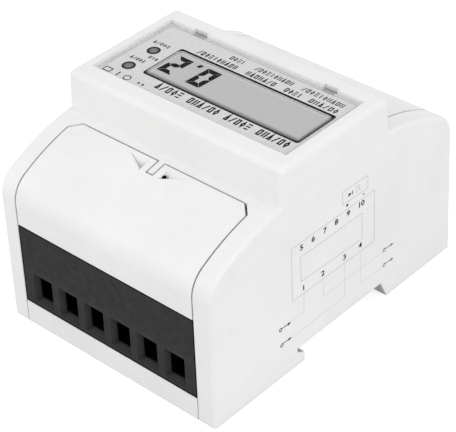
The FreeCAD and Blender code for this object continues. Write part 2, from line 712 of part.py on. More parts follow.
def cover_hinge(half):
    """Two ears of the cover, each with the pin that turns in the rim beside it."""
    pin = RIM_X + RIM_WEB - FIT
    between = box(1 - half, half - 1, -HALF_L, 0, 0, HEIGHT)
    ears = [rod_x(HINGE_EAR_R, HINGE_Y, HINGE_Z, x, x + HINGE_EAR) for x in (-half, half - HINGE_EAR)]
    return ears + [rod_x(HINGE_PIN_R, HINGE_Y, HINGE_Z, -pin, pin).cut(between)]


def lug_start():
    """Y where the ledge of the housing ends and the inside of the cover is free."""
    return -COVER_TOP_Y - LEDGE_REACH - FIT - COVER_CHAMFER


def terminal_block(row):
    """Insulating block at the near end: front wall, one cell for each way, screw deck and bar slots."""
    front = END_FOOT + END_IN * BLOCK_SET_BACK
    outline = [(end_y(front, BLOCK_BOTTOM), BLOCK_BOTTOM), (end_y(front, BLOCK_FRONT_TOP), BLOCK_FRONT_TOP),
               (HINGE_Y, BLOCK_TOP), (-DECK_Y, BLOCK_TOP), (-DECK_Y, row.deck), (-BLOCK_REAR_Y, row.deck),
               (-BLOCK_REAR_Y, BLOCK_BOTTOM)]
    block = prism_x(outline, -BLOCK_X, BLOCK_X)
    inner = -BLOCK_REAR_Y - BLOCK_REAR
    cuts = bar_slots(row, inner - 1, -BLOCK_REAR_Y + 1)
    for x in row.centres():
        cuts += terminal_cell(row, x, BLOCK_BOTTOM + BLOCK_FLOOR, inner)
    return block.cut(cuts).removeSplitter()


def end_y(point, z):
    """Y of a line through a point, leaning as the end face does, at a height."""
    return point.y + (z - point.z) * math.tan(END_DRAFT)


def terminal_cell(row, x, low, rear):
    """Hollow of one way: wire entry, cage cell, screw seat and driver bore."""
    entry = row.entry_width / 2
    cell = row.cell_width / 2
    front = -HALF_L + BLOCK_SET_BACK + BLOCK_FRONT + JOIN
    return [box(x - entry, x + entry, -HALF_L - 1, front + 1, row.entry_low, row.entry_high),
            box(x - cell, x + cell, front, rear, low, min(BLOCK_TOP - SKIN, row.ceiling)),
            box(x - cell, x + cell, -DECK_Y + BLOCK_FRONT, rear, low, row.ceiling),
            post(row.screw_r + FIT, x, row.screw_y, row.ceiling - 1, row.deck + 1),
            post(row.head_r + FIT, x, row.screw_y, row.head_low - TOUCH, row.deck + 1)]


def terminal_cage(row, x):
    """Square steel cage that rises when the screw turns, with the nut in its top."""
    outer = row.cell_width / 2 - FIT
    inner = outer - row.cage_wall
    y0 = row.screw_y - row.cage_length / 2
    y1 = row.screw_y + row.cage_length / 2
    cage = box(x - outer, x + outer, y0, y1, row.cage_low, row.cage_high)
    rounds = [e for e in cage.Edges if e.BoundBox.YLength > row.cage_length - 0.1]
    cage = cage.makeFillet(row.cage_wall * 0.8, rounds)
    window = box(x - inner, x + inner, y0 - 1, y1 + 1, row.cage_low + row.cage_plate, row.nut_low)
    thread = post(row.screw_r + TOUCH, x, row.screw_y, row.nut_low - 1, row.cage_high + 1)
    return cage.cut([window, thread])


def terminal_screw(row, x):
    """Captive clamp screw: pointed shank, cheese head and crossed drive slots."""
    tip = row.bar_high + FIT
    top = row.head_low + row.head
    edge = 0.12 * row.head_r
    outline = [(0, tip), (row.screw_r * 0.7, tip), (row.screw_r, tip + row.screw_r * 0.3),
               (row.screw_r, row.head_low), (row.head_r, row.head_low), (row.head_r, top - edge),
               (row.head_r - edge, top), (0, top)]
    screw = turned(outline, x, row.screw_y)
    arm = row.head_r * 0.68
    blade = row.head_r * 0.14
    sink = top - row.head * 0.55
    slots = [box(x - arm, x + arm, row.screw_y - blade, row.screw_y + blade, sink, top + 1),
             box(x - blade, x + blade, row.screw_y - arm, row.screw_y + arm, sink, top + 1)]
    return screw.cut(slots)


def bar_front(row):
    """Front end of a contact bar, a little past the mouth of the cage."""
    return row.screw_y - row.cage_length / 2 - BAR_NOSE


def aux_contact_bars():
    """Six bent strips from the small terminals up into the power board."""
    strips = []
    half = AUX.bar_width / 2
    pin = AUX_PIN / 2
    for x in AUX.centres():
        flat = box(x - half, x + half, bar_front(AUX), AUX_PIN_Y, AUX.bar_low, AUX.bar_high)
        tail = box(x - pin, x + pin, AUX_PIN_Y - AUX.bar_thick, AUX_PIN_Y, AUX.bar_low, PIN_TOP)
        strips.append(joined([flat, tail]))
    return Part.makeCompound(strips)


def mains_bar(x):
    """Straight copper bar of one mains terminal, drawn at the far end."""
    half = MAINS.bar_width / 2
    return box(x - half, x + half, BAR_END, -bar_front(MAINS), MAINS.bar_low, MAINS.bar_high)


def sense_pin(x, low):
    """Square pin that taps a bar and stands up through the power board."""
    half = SENSE_PIN / 2
    return box(x - half, x + half, SENSE_Y - half, SENSE_Y + half, low, PIN_TOP)


def shunt():
    """Resistance strip between the two live bars, with its two sensing pins."""
    top = MAINS.bar_low + SHUNT_THICK
    strip = box(SHUNT_X0, SHUNT_X1, BAR_END, BAR_END + SHUNT_LENGTH, MAINS.bar_low, top)
    return joined([strip] + [sense_pin(x, top - JOIN) for x in SENSE_X])


def neutral_bar():
    """Copper bar bent to a U between the two neutral terminals, with a tapping pin."""
    link = box(NEUTRAL_OUT_X, NEUTRAL_IN_X, BAR_END, BAR_END + SHUNT_LENGTH, MAINS.bar_low, MAINS.bar_high)
    tap = sense_pin(TAP_X, MAINS.bar_high - JOIN)
    return joined([mains_bar(NEUTRAL_IN_X), mains_bar(NEUTRAL_OUT_X), link, tap])


def pin_holes():
    """Holes in the power board for the pins that come up through it."""
    places = [(x, AUX_PIN_Y - AUX.bar_thick / 2, AUX_PIN / 2 + FIT) for x in AUX.centres()]
    places += [(x, SENSE_Y, SENSE_PIN / 2 + FIT) for x in SENSE_X + (TAP_X,)]
    return [box(x - half, x + half, y - half, y + half, POWER_BOARD_Z - 1, POWER_BOARD_TOP + 1)
            for x, y, half in places]


def board(z):
    """Bare circuit board at a height, clear of the walls."""
    return box(-BOARD_X, BOARD_X, -BOARD_Y, BOARD_Y, z, z + BOARD)


def main_board():
    """Display board with its four screw holes."""
    holes = [post(BOARD_SCREW_R + FIT, x, y, 0, HEIGHT) for x, y in four(BOARD_SCREW_X, BOARD_SCREW_Y)]
    return board(MAIN_BOARD_Z).cut(holes)


def power_board():
    """Supply board that lies on the four screw posts."""
    return board(POWER_BOARD_Z).cut(pin_holes())


def board_screws():
    """Four pan-head screws that hold the display board from below."""
    top = MAIN_BOARD_Z - TOUCH
    low = top - BOARD_HEAD
    tip = top + BOARD_SCREW_LENGTH
    head_r = 2 * BOARD_SCREW_R
    edge = BOARD_HEAD / 4
    outline = [(0, low), (head_r - edge, low), (head_r, low + edge), (head_r, top), (BOARD_SCREW_R, top),
               (BOARD_SCREW_R, tip), (0, tip)]
    return Part.makeCompound([turned(outline, x, y) for x, y in four(BOARD_SCREW_X, BOARD_SCREW_Y)])


def housing_screws():
    """Four screws through the rail plate into the posts of the upper shell."""
    low = RAIL_CEILING + FIT
    seat = low + CASE_HEAD - TOUCH
    tip = CASE_SCREW_TIP
    edge = CASE_HEAD / 4
    outline = [(0, low), (CASE_HEAD_R - edge, low), (CASE_HEAD_R, low + edge), (CASE_HEAD_R, seat),
               (CASE_SCREW_R, seat), (CASE_SCREW_R, tip), (0, tip)]
    arms = ((CROSS / 2, CROSS_BLADE / 2), (CROSS_BLADE / 2, CROSS / 2))
    screws = []
    for x, y in four(CASE_SCREW_X, CASE_SCREW_Y):
        cross = [box(x - a, x + a, y - b, y + b, low - 1, low + CASE_HEAD / 2) for a, b in arms]
        screws.append(turned(outline, x, y).cut(cross))
    return Part.makeCompound(screws)


def window():
    """Clear pane with a stepped border and two snap hooks."""
    play = FIT / 2
    x = WINDOW_X - play
    y0 = WINDOW_NEAR + play
    y1 = WINDOW_FAR - play
    top = WINDOW_Z + WINDOW_THICK
    pane = box(-x, x, y0, y1, WINDOW_Z, top - WINDOW_STEP_DROP)
    step = WINDOW_STEP
    raised = box(step - x, x - step, y0 + step, y1 - step, WINDOW_Z, top)
    hooks = [box(n - SNAP / 2, n + SNAP / 2, y1 - JOIN, WINDOW_FAR + SNAP_REACH - 2 * play, WINDOW_Z,
                 top - WINDOW_STEP_DROP) for n in (-SNAP_X, SNAP_X)]
    return joined([pane, raised] + hooks)


def rounded_column(x0, x1, y0, y1, radius, z0, z1):
    """Upright column with a rounded rectangular outline."""
    column = box(x0, x1, y0, y1, z0, z1)
    upright = [e for e in column.Edges if e.BoundBox.ZLength > z1 - z0 - 0.01]
    return column.makeFillet(radius, upright)


def label_plate():
    """Thin face plate with the display opening and two lamp holes."""
    x = WINDOW_X - FIT / 2
    plate = box(-x, x, WINDOW_NEAR + FIT / 2, WINDOW_FAR - FIT / 2, LABEL_Z, LABEL_Z + LABEL_THICK)
    show = rounded_column(SHOW_LEFT, SHOW_RIGHT, SHOW_NEAR, SHOW_FAR, SHOW_CORNER_R, LABEL_Z - 1, HEIGHT)
    lamps = [post(LED_R + TOUCH, LED_X, y, LABEL_Z - 1, HEIGHT) for y in LED_Y]
    return plate.cut([show] + lamps)


def lcd_glass():
    """Liquid crystal cell: the two glass plates and the crystal sealed between them, one piece."""
    edge = LCD_BORDER
    low = LCD_TOP - LCD_THICK
    return box(SHOW_LEFT - edge, SHOW_RIGHT + edge, SHOW_NEAR - edge, SHOW_FAR + edge, low, LCD_TOP)


def lcd_frame():
    """Moulded frame that stands on the board and holds the glass on an inner ledge."""
    gap = LCD_BORDER + FIT / 2
    wall = gap + LCD_WALL
    low = MAIN_BOARD_TOP + TOUCH
    top = HEIGHT - TOP_SKIN - TOUCH
    seat = LCD_TOP - LCD_THICK - TOUCH
    frame = box(SHOW_LEFT - wall, SHOW_RIGHT + wall, SHOW_NEAR - wall, SHOW_FAR + wall, low, top)
    upper = box(SHOW_LEFT - gap, SHOW_RIGHT + gap, SHOW_NEAR - gap, SHOW_FAR + gap, seat, top + 1)
    lower = box(SHOW_LEFT, SHOW_RIGHT, SHOW_NEAR, SHOW_FAR, low - 1, seat + 1)
    return frame.cut([upper, lower])


def lcd_contact_strip():
    """Elastomer strip that joins the glass to the board."""
    low = MAIN_BOARD_TOP + TOUCH
    top = LCD_TOP - LCD_THICK - TOUCH
    near = SHOW_NEAR + FIT / 2
    return box(SHOW_LEFT + LCD_STRIP, SHOW_RIGHT - LCD_STRIP, near, near + LCD_STRIP, low, top)


def led(y):
    """Domed lamp with its flange and two leads, standing on the display board."""
    top = LABEL_Z + LABEL_THICK - TOUCH
    low = top - LED_HEIGHT
    flange = LED_R + LED_FLANGE
    slant = LED_R * math.sqrt(0.5)
    waist = V(LED_X + LED_R, y, top - LED_R)
    bend = V(LED_X + slant, y, top - LED_R + slant)
    crown = V(LED_X, y, top)
    corners = [V(LED_X, y, low), V(LED_X + flange, y, low), V(LED_X + flange, y, low + 1),
               V(LED_X + LED_R, y, low + 1), waist]
    edges = [Part.makeLine(a, b) for a, b in zip(corners, corners[1:])]
    edges += [Part.Arc(waist, bend, crown).toShape(), Part.makeLine(crown, corners[0])]
    body = Part.Face(Part.Wire(edges)).revolve(V(LED_X, y, 0), V(0, 0, 1), 360)
    half = LEAD / 2
    leads = [box(x - half, x + half, y - half, y + half, MAIN_BOARD_TOP + TOUCH, low + JOIN)
             for x in (LED_X - LED_LEAD_PITCH / 2, LED_X + LED_LEAD_PITCH / 2)]
    return joined([body] + leads)


def chip(x, y, length, width, legs):
    """Flat packaged circuit hanging under the display board, with bent legs on each long side."""
    low = MAIN_BOARD_Z - CHIP_THICK
    top = MAIN_BOARD_Z - CHIP_STANDOFF
    body = box(x - length / 2, x + length / 2, y - width / 2, y + width / 2, low, top)
    body = body.makeChamfer(CHIP_LEG_THICK, [e for e in body.Edges if e.BoundBox.ZMax < low + 0.01])
    step = length / legs
    leg = [leg_outline(y, width / 2, side, low + CHIP_THICK / 2) for side in (-1, 1)]
    parts = [body]
    for n in range(legs):
        x0 = x - length / 2 + step * (n + 0.5) - CHIP_LEG / 2
        parts += [prism_x(outline, x0, x0 + CHIP_LEG) for outline in leg]
    return joined(parts)


def leg_outline(y, root, side, z):
    """(y, z) outline of one bent chip leg, from inside the body out and up to the board."""
    inner = y + side * (root - JOIN)
    bend = y + side * (root + CHIP_LEG_REACH - CHIP_LEG_THICK)
    tip = y + side * (root + CHIP_LEG_REACH)
    foot = MAIN_BOARD_Z - TOUCH
    top = z + CHIP_LEG_THICK
    return [(inner, z), (tip, z), (tip, foot), (bend, foot), (bend, top), (inner, top)]


def metering_chip():
    """Circuit that measures voltage and current."""
    side, end, *body = METERING_CHIP
    return chip(side - BOARD_X, BOARD_Y - end, *body)


def controller_chip():
    """Circuit that counts the energy and drives the display."""
    side, end, *body = CONTROLLER_CHIP
    return chip(BOARD_X - side, end - BOARD_Y, *body)


def crystal():
    """Oscillator can with rounded ends, under the display board."""
    side, _, length = METERING_CHIP[:3]
    x = side - BOARD_X + length / 2 + CRYSTAL_GAP
    y = BOARD_Y - CRYSTAL_PLACE
    width = CRYSTAL_WIDTH / 2
    low = MAIN_BOARD_Z - CRYSTAL_HEIGHT
    return rounded_column(x, x + CRYSTAL_LENGTH, y - width, y + width, width - TOUCH, low,
                          MAIN_BOARD_Z - TOUCH)


def dropper_capacitor():
    """Film capacitor in its moulded case, which feeds the supply."""
    side, end = FILM_PLACE
    x = BOARD_X - side
    y = end - BOARD_Y
    return rounded_column(x - FILM_LENGTH, x, y - FILM_WIDTH / 2, y + FILM_WIDTH / 2, FILM_EDGE, ON_BOARD,
                          ON_BOARD + FILM_HEIGHT)


def smoothing_capacitor():
    """Electrolytic can with its crimped groove near the foot."""
    top = ON_BOARD + CAN_HEIGHT
    neck = CAN_R - CAN_GROOVE
    crimp = ON_BOARD + CAN_CRIMP
    outline = [(0, ON_BOARD), (CAN_R, ON_BOARD), (CAN_R, crimp), (neck, crimp + CAN_GROOVE),
               (CAN_R, crimp + 2 * CAN_GROOVE), (CAN_R, top - CAN_GROOVE), (neck, top), (0, top)]
    return turned(outline, CAN_X, BOARD_Y - CAN_PLACE)


def varistor():
    """Disc of the surge arrester on its two leads."""
    middle = ON_BOARD + VARISTOR_RISE
    side, end = VARISTOR_PLACE
    x = BOARD_X - side
    y = BOARD_Y - end
    disc = Part.makeCylinder(VARISTOR_R, VARISTOR_THICK, V(x, y, middle), V(0, 1, 0))
    leads = [post(LEAD, x + lead, y + VARISTOR_THICK / 2, ON_BOARD, middle)
             for lead in (-LED_LEAD_PITCH, LED_LEAD_PITCH)]
    return joined([disc] + leads)


def optocouplers():
    """Three four-legged optocouplers behind the small terminals."""
    parts = []
    half = LEAD / 2
    for x in (-2 * AUX.pitch, 0.0, 2 * AUX.pitch):
        body = box(x - OPTO_X, x + OPTO_X, OPTO_Y - OPTO_REACH, OPTO_Y + OPTO_REACH, ON_BOARD + JOIN,
                   ON_BOARD + OPTO_HEIGHT)
        legs = [box(a - half, a + half, b - half, b + half, ON_BOARD, ON_BOARD + 1)
                for a in (x - LED_LEAD_PITCH / 2, x + LED_LEAD_PITCH / 2)
                for b in (OPTO_Y - OPTO_REACH + JOIN, OPTO_Y + OPTO_REACH - JOIN)]
        parts.append(joined([body] + legs))
    return Part.makeCompound(parts)


def board_link():
    """Pin header that joins the power board to the display board."""
    x = LINK_X
    half = LINK_WIDTH / 2
    reach = LINK_PITCH * LINK_PINS / 2
    body = box(x - half, x + half, -reach, reach, ON_BOARD, ON_BOARD + LINK_HEIGHT)
    pin = LEAD / 2
    places = [LINK_PITCH * (n + 0.5) - reach for n in range(LINK_PINS)]
    pins = [box(x - pin, x + pin, y - pin, y + pin, ON_BOARD + LINK_HEIGHT - JOIN, MAIN_BOARD_Z - TOUCH)
            for y in places]
    return joined([body] + pins)


def export(name, shape):
    """Write one named piece, after making sure that it is sound."""
    for solid in shape.Solids:
        assert solid.isValid() and solid.Volume > 0, name
    shape.exportStep("parts/" + name + ".step")
    print(name, len(shape.Solids), round(shape.Volume, 1))


def main():
    """Build every piece and write it under its own name."""
    os.makedirs("parts", exist_ok=True)
    pieces = {
        "main_housing": main_housing(),
        "base_housing": base_housing(),
        "housing_screws": housing_screws(),
        "aux_terminal_cover": terminal_cover(),
        "mains_terminal_cover": far(terminal_cover()),
        "aux_terminal_block": terminal_block(AUX),
        "mains_terminal_block": far(terminal_block(MAINS)),
        "aux_contact_bars": aux_contact_bars(),
        "live_in_bar": mains_bar(LIVE_IN_X),
        "live_out_bar": mains_bar(LIVE_OUT_X),
        "shunt": shunt(),
        "neutral_bar": neutral_bar(),
        "rail_clip": rail_clip(),
        "rail_clip_spring": rail_clip_spring(),
        "window": window(),
        "label_plate": label_plate(),
        "lcd_glass": lcd_glass(),
        "lcd_frame": lcd_frame(),
        "lcd_contact_strip": lcd_contact_strip(),
        "power_led": led(LED_Y[0]),
        "pulse_led": led(LED_Y[1]),
        "main_board": main_board(),
        "power_board": power_board(),
        "board_screws": board_screws(),
        "metering_chip": metering_chip(),
        "controller_chip": controller_chip(),
        "crystal": crystal(),
        "dropper_capacitor": dropper_capacitor(),
        "smoothing_capacitor": smoothing_capacitor(),
        "varistor": varistor(),
        "optocouplers": optocouplers(),
        "board_link": board_link(),
    }
    for n, x in enumerate(AUX.centres(), 5):
        pieces["aux_screw_%d" % n] = terminal_screw(AUX, x)
        pieces["aux_cage_%d" % n] = terminal_cage(AUX, x)
    for n, x in enumerate(MAINS.centres(), 1):
        pieces["mains_screw_%d" % n] = far(terminal_screw(MAINS, x))
        pieces["mains_cage_%d" % n] = far(terminal_cage(MAINS, x))
    for name, shape in pieces.items():
        export(name, shape)


main()
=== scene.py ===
# %% [markdown]
# A meter for a 35 mm rail, in its looks.
# The solids come packed from the construction model, and this script never moves them.
# It gives each one a finish, adds the print and the spring's coil, and lights the whole.
# Every length is in metres, in the construction model's own frame: +Z points out of the rail, and -Y towards
# the small terminals.

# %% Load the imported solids
import math

import bmesh
import bpy
import numpy as np
from mathutils import Matrix, Vector


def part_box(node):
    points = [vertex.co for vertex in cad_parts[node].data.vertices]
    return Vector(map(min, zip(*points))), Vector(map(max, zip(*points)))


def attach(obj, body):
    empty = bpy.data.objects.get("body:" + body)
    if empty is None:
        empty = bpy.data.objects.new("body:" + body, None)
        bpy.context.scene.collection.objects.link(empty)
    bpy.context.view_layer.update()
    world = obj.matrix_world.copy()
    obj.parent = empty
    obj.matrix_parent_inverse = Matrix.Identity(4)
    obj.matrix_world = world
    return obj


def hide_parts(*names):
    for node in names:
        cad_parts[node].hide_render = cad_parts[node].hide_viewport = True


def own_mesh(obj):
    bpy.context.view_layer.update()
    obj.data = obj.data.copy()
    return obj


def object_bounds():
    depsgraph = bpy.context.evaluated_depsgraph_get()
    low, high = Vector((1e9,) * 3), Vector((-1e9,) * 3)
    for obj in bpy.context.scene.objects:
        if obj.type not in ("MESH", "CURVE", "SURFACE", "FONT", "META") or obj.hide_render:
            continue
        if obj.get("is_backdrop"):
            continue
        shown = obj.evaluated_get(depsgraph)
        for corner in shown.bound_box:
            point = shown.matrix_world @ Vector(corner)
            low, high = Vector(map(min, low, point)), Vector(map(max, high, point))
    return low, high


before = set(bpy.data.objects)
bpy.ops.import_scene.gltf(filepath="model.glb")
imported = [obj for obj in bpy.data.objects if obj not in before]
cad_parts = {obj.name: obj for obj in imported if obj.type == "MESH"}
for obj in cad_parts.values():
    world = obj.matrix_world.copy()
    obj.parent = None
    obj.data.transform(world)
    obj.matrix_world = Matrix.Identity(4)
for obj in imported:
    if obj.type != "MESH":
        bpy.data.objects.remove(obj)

MM = 0.001
cad_low, cad_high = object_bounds()
print("solids:", len(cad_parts), "box in mm:", [round(v / MM, 2) for v in (cad_high - cad_low)])

# %% [markdown]
# The camera stands where the photograph was taken from.
# Its direction is written as an azimuth, an elevation and a small roll, because those can be read back.
# A long lens flattens the perspective, as in most product pictures.

# %% Camera
IMAGE_WIDTH = 456
FOCAL_PIXELS = 1824.6
SENSOR = 36.0
AZIMUTH = math.radians(43.99)
ELEVATION = math.radians(36.26)
ROLL = math.radians(-3.14)
CAMERA_PLACE = Vector((281.84, -293.66, 320.32)) * MM

camera = bpy.data.objects.new("photo_camera", bpy.data.cameras.new("photo_camera"))
bpy.context.scene.collection.objects.link(camera)
camera.data.sensor_fit = "HORIZONTAL"
camera.data.sensor_width = SENSOR
camera.data.lens = FOCAL_PIXELS * SENSOR / IMAGE_WIDTH
camera.data.clip_start = 0.01
camera.data.clip_end = 10.0
gaze = Vector((-math.sin(AZIMUTH) * math.cos(ELEVATION), math.cos(AZIMUTH) * math.cos(ELEVATION),
               -math.sin(ELEVATION)))
camera.rotation_mode = "QUATERNION"
camera.rotation_quaternion = gaze.to_track_quat("-Z", "Y") @ Matrix.Rotation(ROLL, 3, "Z").to_quaternion()
camera.location = CAMERA_PLACE
bpy.context.scene.camera = camera
bpy.context.scene.view_settings.view_transform = "Standard"
print("lens in mm:", round(camera.data.lens, 2))

# %% [markdown]
# Soft light shows the rounded shoulders of a white housing without burning them out.
# An even pale sky does most of it, because a white thing needs light from all round to read as white.
# A large lamp on each side of the camera and a weak one behind give the faces small steps in brightness.

# %% Studio light
SKY = 0.83
CENTRE = (cad_low + cad_high) / 2


def lamp(name, place, size, watts):
    """A square soft lamp that points at the middle of the object."""
    data = bpy.data.lights.new(name, "AREA")
    data.shape = "SQUARE"
    data.size = size
    data.energy = watts
    data.color = (1.0, 1.0, 1.0)
    obj = bpy.data.objects.new(name, data)
    bpy.context.scene.collection.objects.link(obj)
    obj.location = place
    obj.rotation_mode = "QUATERNION"
    obj.rotation_quaternion = (CENTRE - Vector(place)).to_track_quat("-Z", "Y")


lamp("key_lamp", (-0.35, -0.75, 0.45), 0.6, 1.35)
lamp("fill_lamp", (0.75, -0.15, 0.45), 0.6, 1.8)
lamp("back_lamp", (0.10, 0.75, 0.60), 0.5, 0.12)

world = bpy.data.worlds.new("studio_sky")
bpy.context.scene.world = world
world.use_nodes = True
sky = world.node_tree.nodes["Background"]
sky.inputs["Color"].default_value = (1.0, 1.0, 1.0, 1.0)
sky.inputs["Strength"].default_value = SKY
seen_sky = world.node_tree.nodes.new("ShaderNodeBackground")
seen_sky.inputs["Color"].default_value = (1.0, 1.0, 1.0, 1.0)
seen_sky.inputs["Strength"].default_value = 1.0
sky_mix = world.node_tree.nodes.new("ShaderNodeMixShader")
sky_path = world.node_tree.nodes.new("ShaderNodeLightPath")
world.node_tree.links.new(sky_path.outputs["Is Camera Ray"], sky_mix.inputs["Fac"])
world.node_tree.links.new(sky.outputs["Background"], sky_mix.inputs[1])
world.node_tree.links.new(seen_sky.outputs["Background"], sky_mix.inputs[2])
world.node_tree.links.new(sky_mix.outputs["Shader"], world.node_tree.nodes["World Output"].inputs["Surface"])
print("sky strength:", SKY, "lamps:", len(bpy.data.lights))

# %% [markdown]
# Shader trees get long, so small helpers keep each finish readable.
# A tree is written as a few named steps: make a node, set its plain numbers, and link its inputs.

# %% Shader helpers


def node(tree, kind, links=None, **values):
    """One node. Links map an input to another node's output, values set plain inputs or settings."""
    made = tree.nodes.new(kind)
    for key, value in values.items():
        if key in made.inputs:
            made.inputs[key].default_value = value
        else:
            setattr(made, key, value)
    for key, source in (links or {}).items():
        tree.links.new(source, made.inputs[key])
    return made


def group(name, inputs, outputs):
    """Empty node group with float inputs (name: start value) and outputs (name: socket kind)."""
    tree = bpy.data.node_groups.new(name, "ShaderNodeTree")
    for key, value in inputs.items():
        socket = tree.interface.new_socket(key, in_out="INPUT", socket_type="NodeSocketFloat")
        socket.default_value = value
    for key, kind in outputs.items():
        tree.interface.new_socket(key, in_out="OUTPUT", socket_type=kind)
    return tree, tree.nodes.new("NodeGroupInput"), tree.nodes.new("NodeGroupOutput")


def use(tree, shared, **values):
    """A shared group placed in a material, with its own values."""
    placed = node(tree, "ShaderNodeGroup", node_tree=shared)
    for key, value in values.items():
        placed.inputs[key.replace("_", " ")].default_value = value
    return placed


def ramped(tree, source, start, end, low, high, kind="SMOOTHSTEP"):
    """A value carried from one range to another between two places, with a soft or a straight run."""
    made = node(tree, "ShaderNodeMapRange", {"Value": source}, interpolation_type=kind)
    for key, value in (("From Min", start), ("From Max", end), ("To Min", low), ("To Max", high)):
        made.inputs[key].default_value = value
    return made.outputs["Result"]


def combined(tree, operation, first, second):
    """Two values joined by a sum, product, difference or the like; each is a plain number or an output."""
    made = node(tree, "ShaderNodeMath", operation=operation)
    for index, value in enumerate((first, second)):
        if isinstance(value, float):
            made.inputs[index].default_value = value
        else:
            tree.links.new(value, made.inputs[index])
    return made.outputs[0]


def mixed(tree, mask, first, second):
    """A colour between two others, by the mask; each is written out or an output."""
    made = node(tree, "ShaderNodeMix", {"Factor": mask}, data_type="RGBA")
    for key, colour in (("A", first), ("B", second)):
        if isinstance(colour, tuple):
            made.inputs[key].default_value = (*colour, 1.0)
        else:
            tree.links.new(colour, made.inputs[key])
    return made.outputs["Result"]


def tinted(tree, mask, colour):
    """Lay a colour over the shader's base colour where the mask is one."""
    base = tree.nodes["Principled BSDF"].inputs["Base Color"]
    tree.links.new(mixed(tree, mask, base.links[0].from_socket, colour), base)


def place_of(tree):
    """A point's place as one vector, in the frame of the solids."""
    return node(tree, "ShaderNodeTexCoord").outputs["Object"]


def axes_of(tree):
    """A point's three coordinates, in the same frame."""
    return node(tree, "ShaderNodeSeparateXYZ", {"Vector": place_of(tree)}).outputs


def inside_box(tree, limits):
    """Mask of a box of space. Each limit is a coordinate, the middle of the box there, and its half size."""
    mask = 1.0
    for source, middle, half in limits:
        away = combined(tree, "ABSOLUTE", combined(tree, "SUBTRACT", source, middle), 0.0)
        within = combined(tree, "LESS_THAN", away, half)
        mask = combined(tree, "MULTIPLY", mask, within)
    return mask


# %% [markdown]
# Moulded plastic is never one flat tone.
# Four shared effects do for nearly every finish here: a slow cloudiness, a fine spark-eroded grain,
# a mask of the edges, where handling polishes the grain away, and a mask of the gaps, where grey shade is
# painted.
# The edge mask compares the true normal with one rounded over a small radius, so it needs no marked edges.

# %% Shared effects
FINER = 9.0


def make_clouds():
    """Mask from 0 to 1: broad noise with a share of finer noise on top."""
    tree, start, end = group("clouds", {"Size": 0.02, "Fine Share": 0.35}, {"Mask": "NodeSocketFloat"})
    scale = combined(tree, "DIVIDE", 1.0, start.outputs["Size"])
    finer = combined(tree, "MULTIPLY", scale, FINER)
    broad = node(tree, "ShaderNodeTexNoise", {"Vector": place_of(tree), "Scale": scale}, Detail=3.0)
    fine = node(tree, "ShaderNodeTexNoise", {"Vector": place_of(tree), "Scale": finer}, Detail=4.0)
    both = node(tree, "ShaderNodeMix", {"Factor": start.outputs["Fine Share"], "A": broad.outputs["Fac"],
                                        "B": fine.outputs["Fac"]})
    tree.links.new(ramped(tree, both.outputs["Result"], 0.3, 0.7, 0.0, 1.0, "LINEAR"), end.inputs["Mask"])
    return tree


def make_grain():
    """Height of an eroded mould skin: tiny round pits of uneven depth."""
    tree, start, end = group("grain", {"Size": 0.0004}, {"Height": "NodeSocketFloat"})
    scale = combined(tree, "DIVIDE", 1.0, start.outputs["Size"])
    pits = node(tree, "ShaderNodeTexVoronoi", {"Vector": place_of(tree), "Scale": scale}, feature="SMOOTH_F1")
    rough = node(tree, "ShaderNodeTexNoise", {"Vector": place_of(tree), "Scale": scale}, Detail=2.0)
    both = combined(tree, "MULTIPLY", pits.outputs["Distance"], rough.outputs["Fac"])
    tree.links.new(both, end.inputs["Height"])
    return tree


def make_edges():
    """Mask of the edges: how far a normal rounded over a radius turns away from the true one."""
    tree, start, end = group("edges", {"Radius": 0.0006, "Gain": 6.0},
                             {"Mask": "NodeSocketFloat", "Normal": "NodeSocketVector"})
    soft = node(tree, "ShaderNodeBevel", {"Radius": start.outputs["Radius"]}, samples=6)
    true = node(tree, "ShaderNodeNewGeometry")
    same = node(tree, "ShaderNodeVectorMath", {0: soft.outputs["Normal"], 1: true.outputs["Normal"]},
                operation="DOT_PRODUCT")
    turn = combined(tree, "SUBTRACT", 1.0, same.outputs["Value"])
    gain = node(tree, "ShaderNodeMath", {0: turn, 1: start.outputs["Gain"]}, operation="MULTIPLY",
                use_clamp=True)
    tree.links.new(gain.outputs[0], end.inputs["Mask"])
    tree.links.new(soft.outputs["Normal"], end.inputs["Normal"])
    return tree


def make_crevices():
    """Mask of narrow gaps: one where a point sees hardly anything but its own neighbours nearby."""
    tree, start, end = group("crevices", {"Reach": 0.0011}, {"Mask": "NodeSocketFloat"})
    near = node(tree, "ShaderNodeAmbientOcclusion", {"Distance": start.outputs["Reach"]}, samples=8)
    tree.links.new(ramped(tree, near.outputs["AO"], 0.12, 0.42, 1.0, 0.0), end.inputs["Mask"])
    return tree


CLOUDS = make_clouds()
GRAIN = make_grain()
EDGES = make_edges()
CREVICES = make_crevices()
print("shared effects:", [effect.name for effect in (CLOUDS, GRAIN, EDGES, CREVICES)])

# %% [markdown]
# A finish is then a function: two close tones, a roughness range, a grain and an edge radius.
# The numbers that stay the same all over are set straight on the shader, so they survive an export.

# %% Finish builder


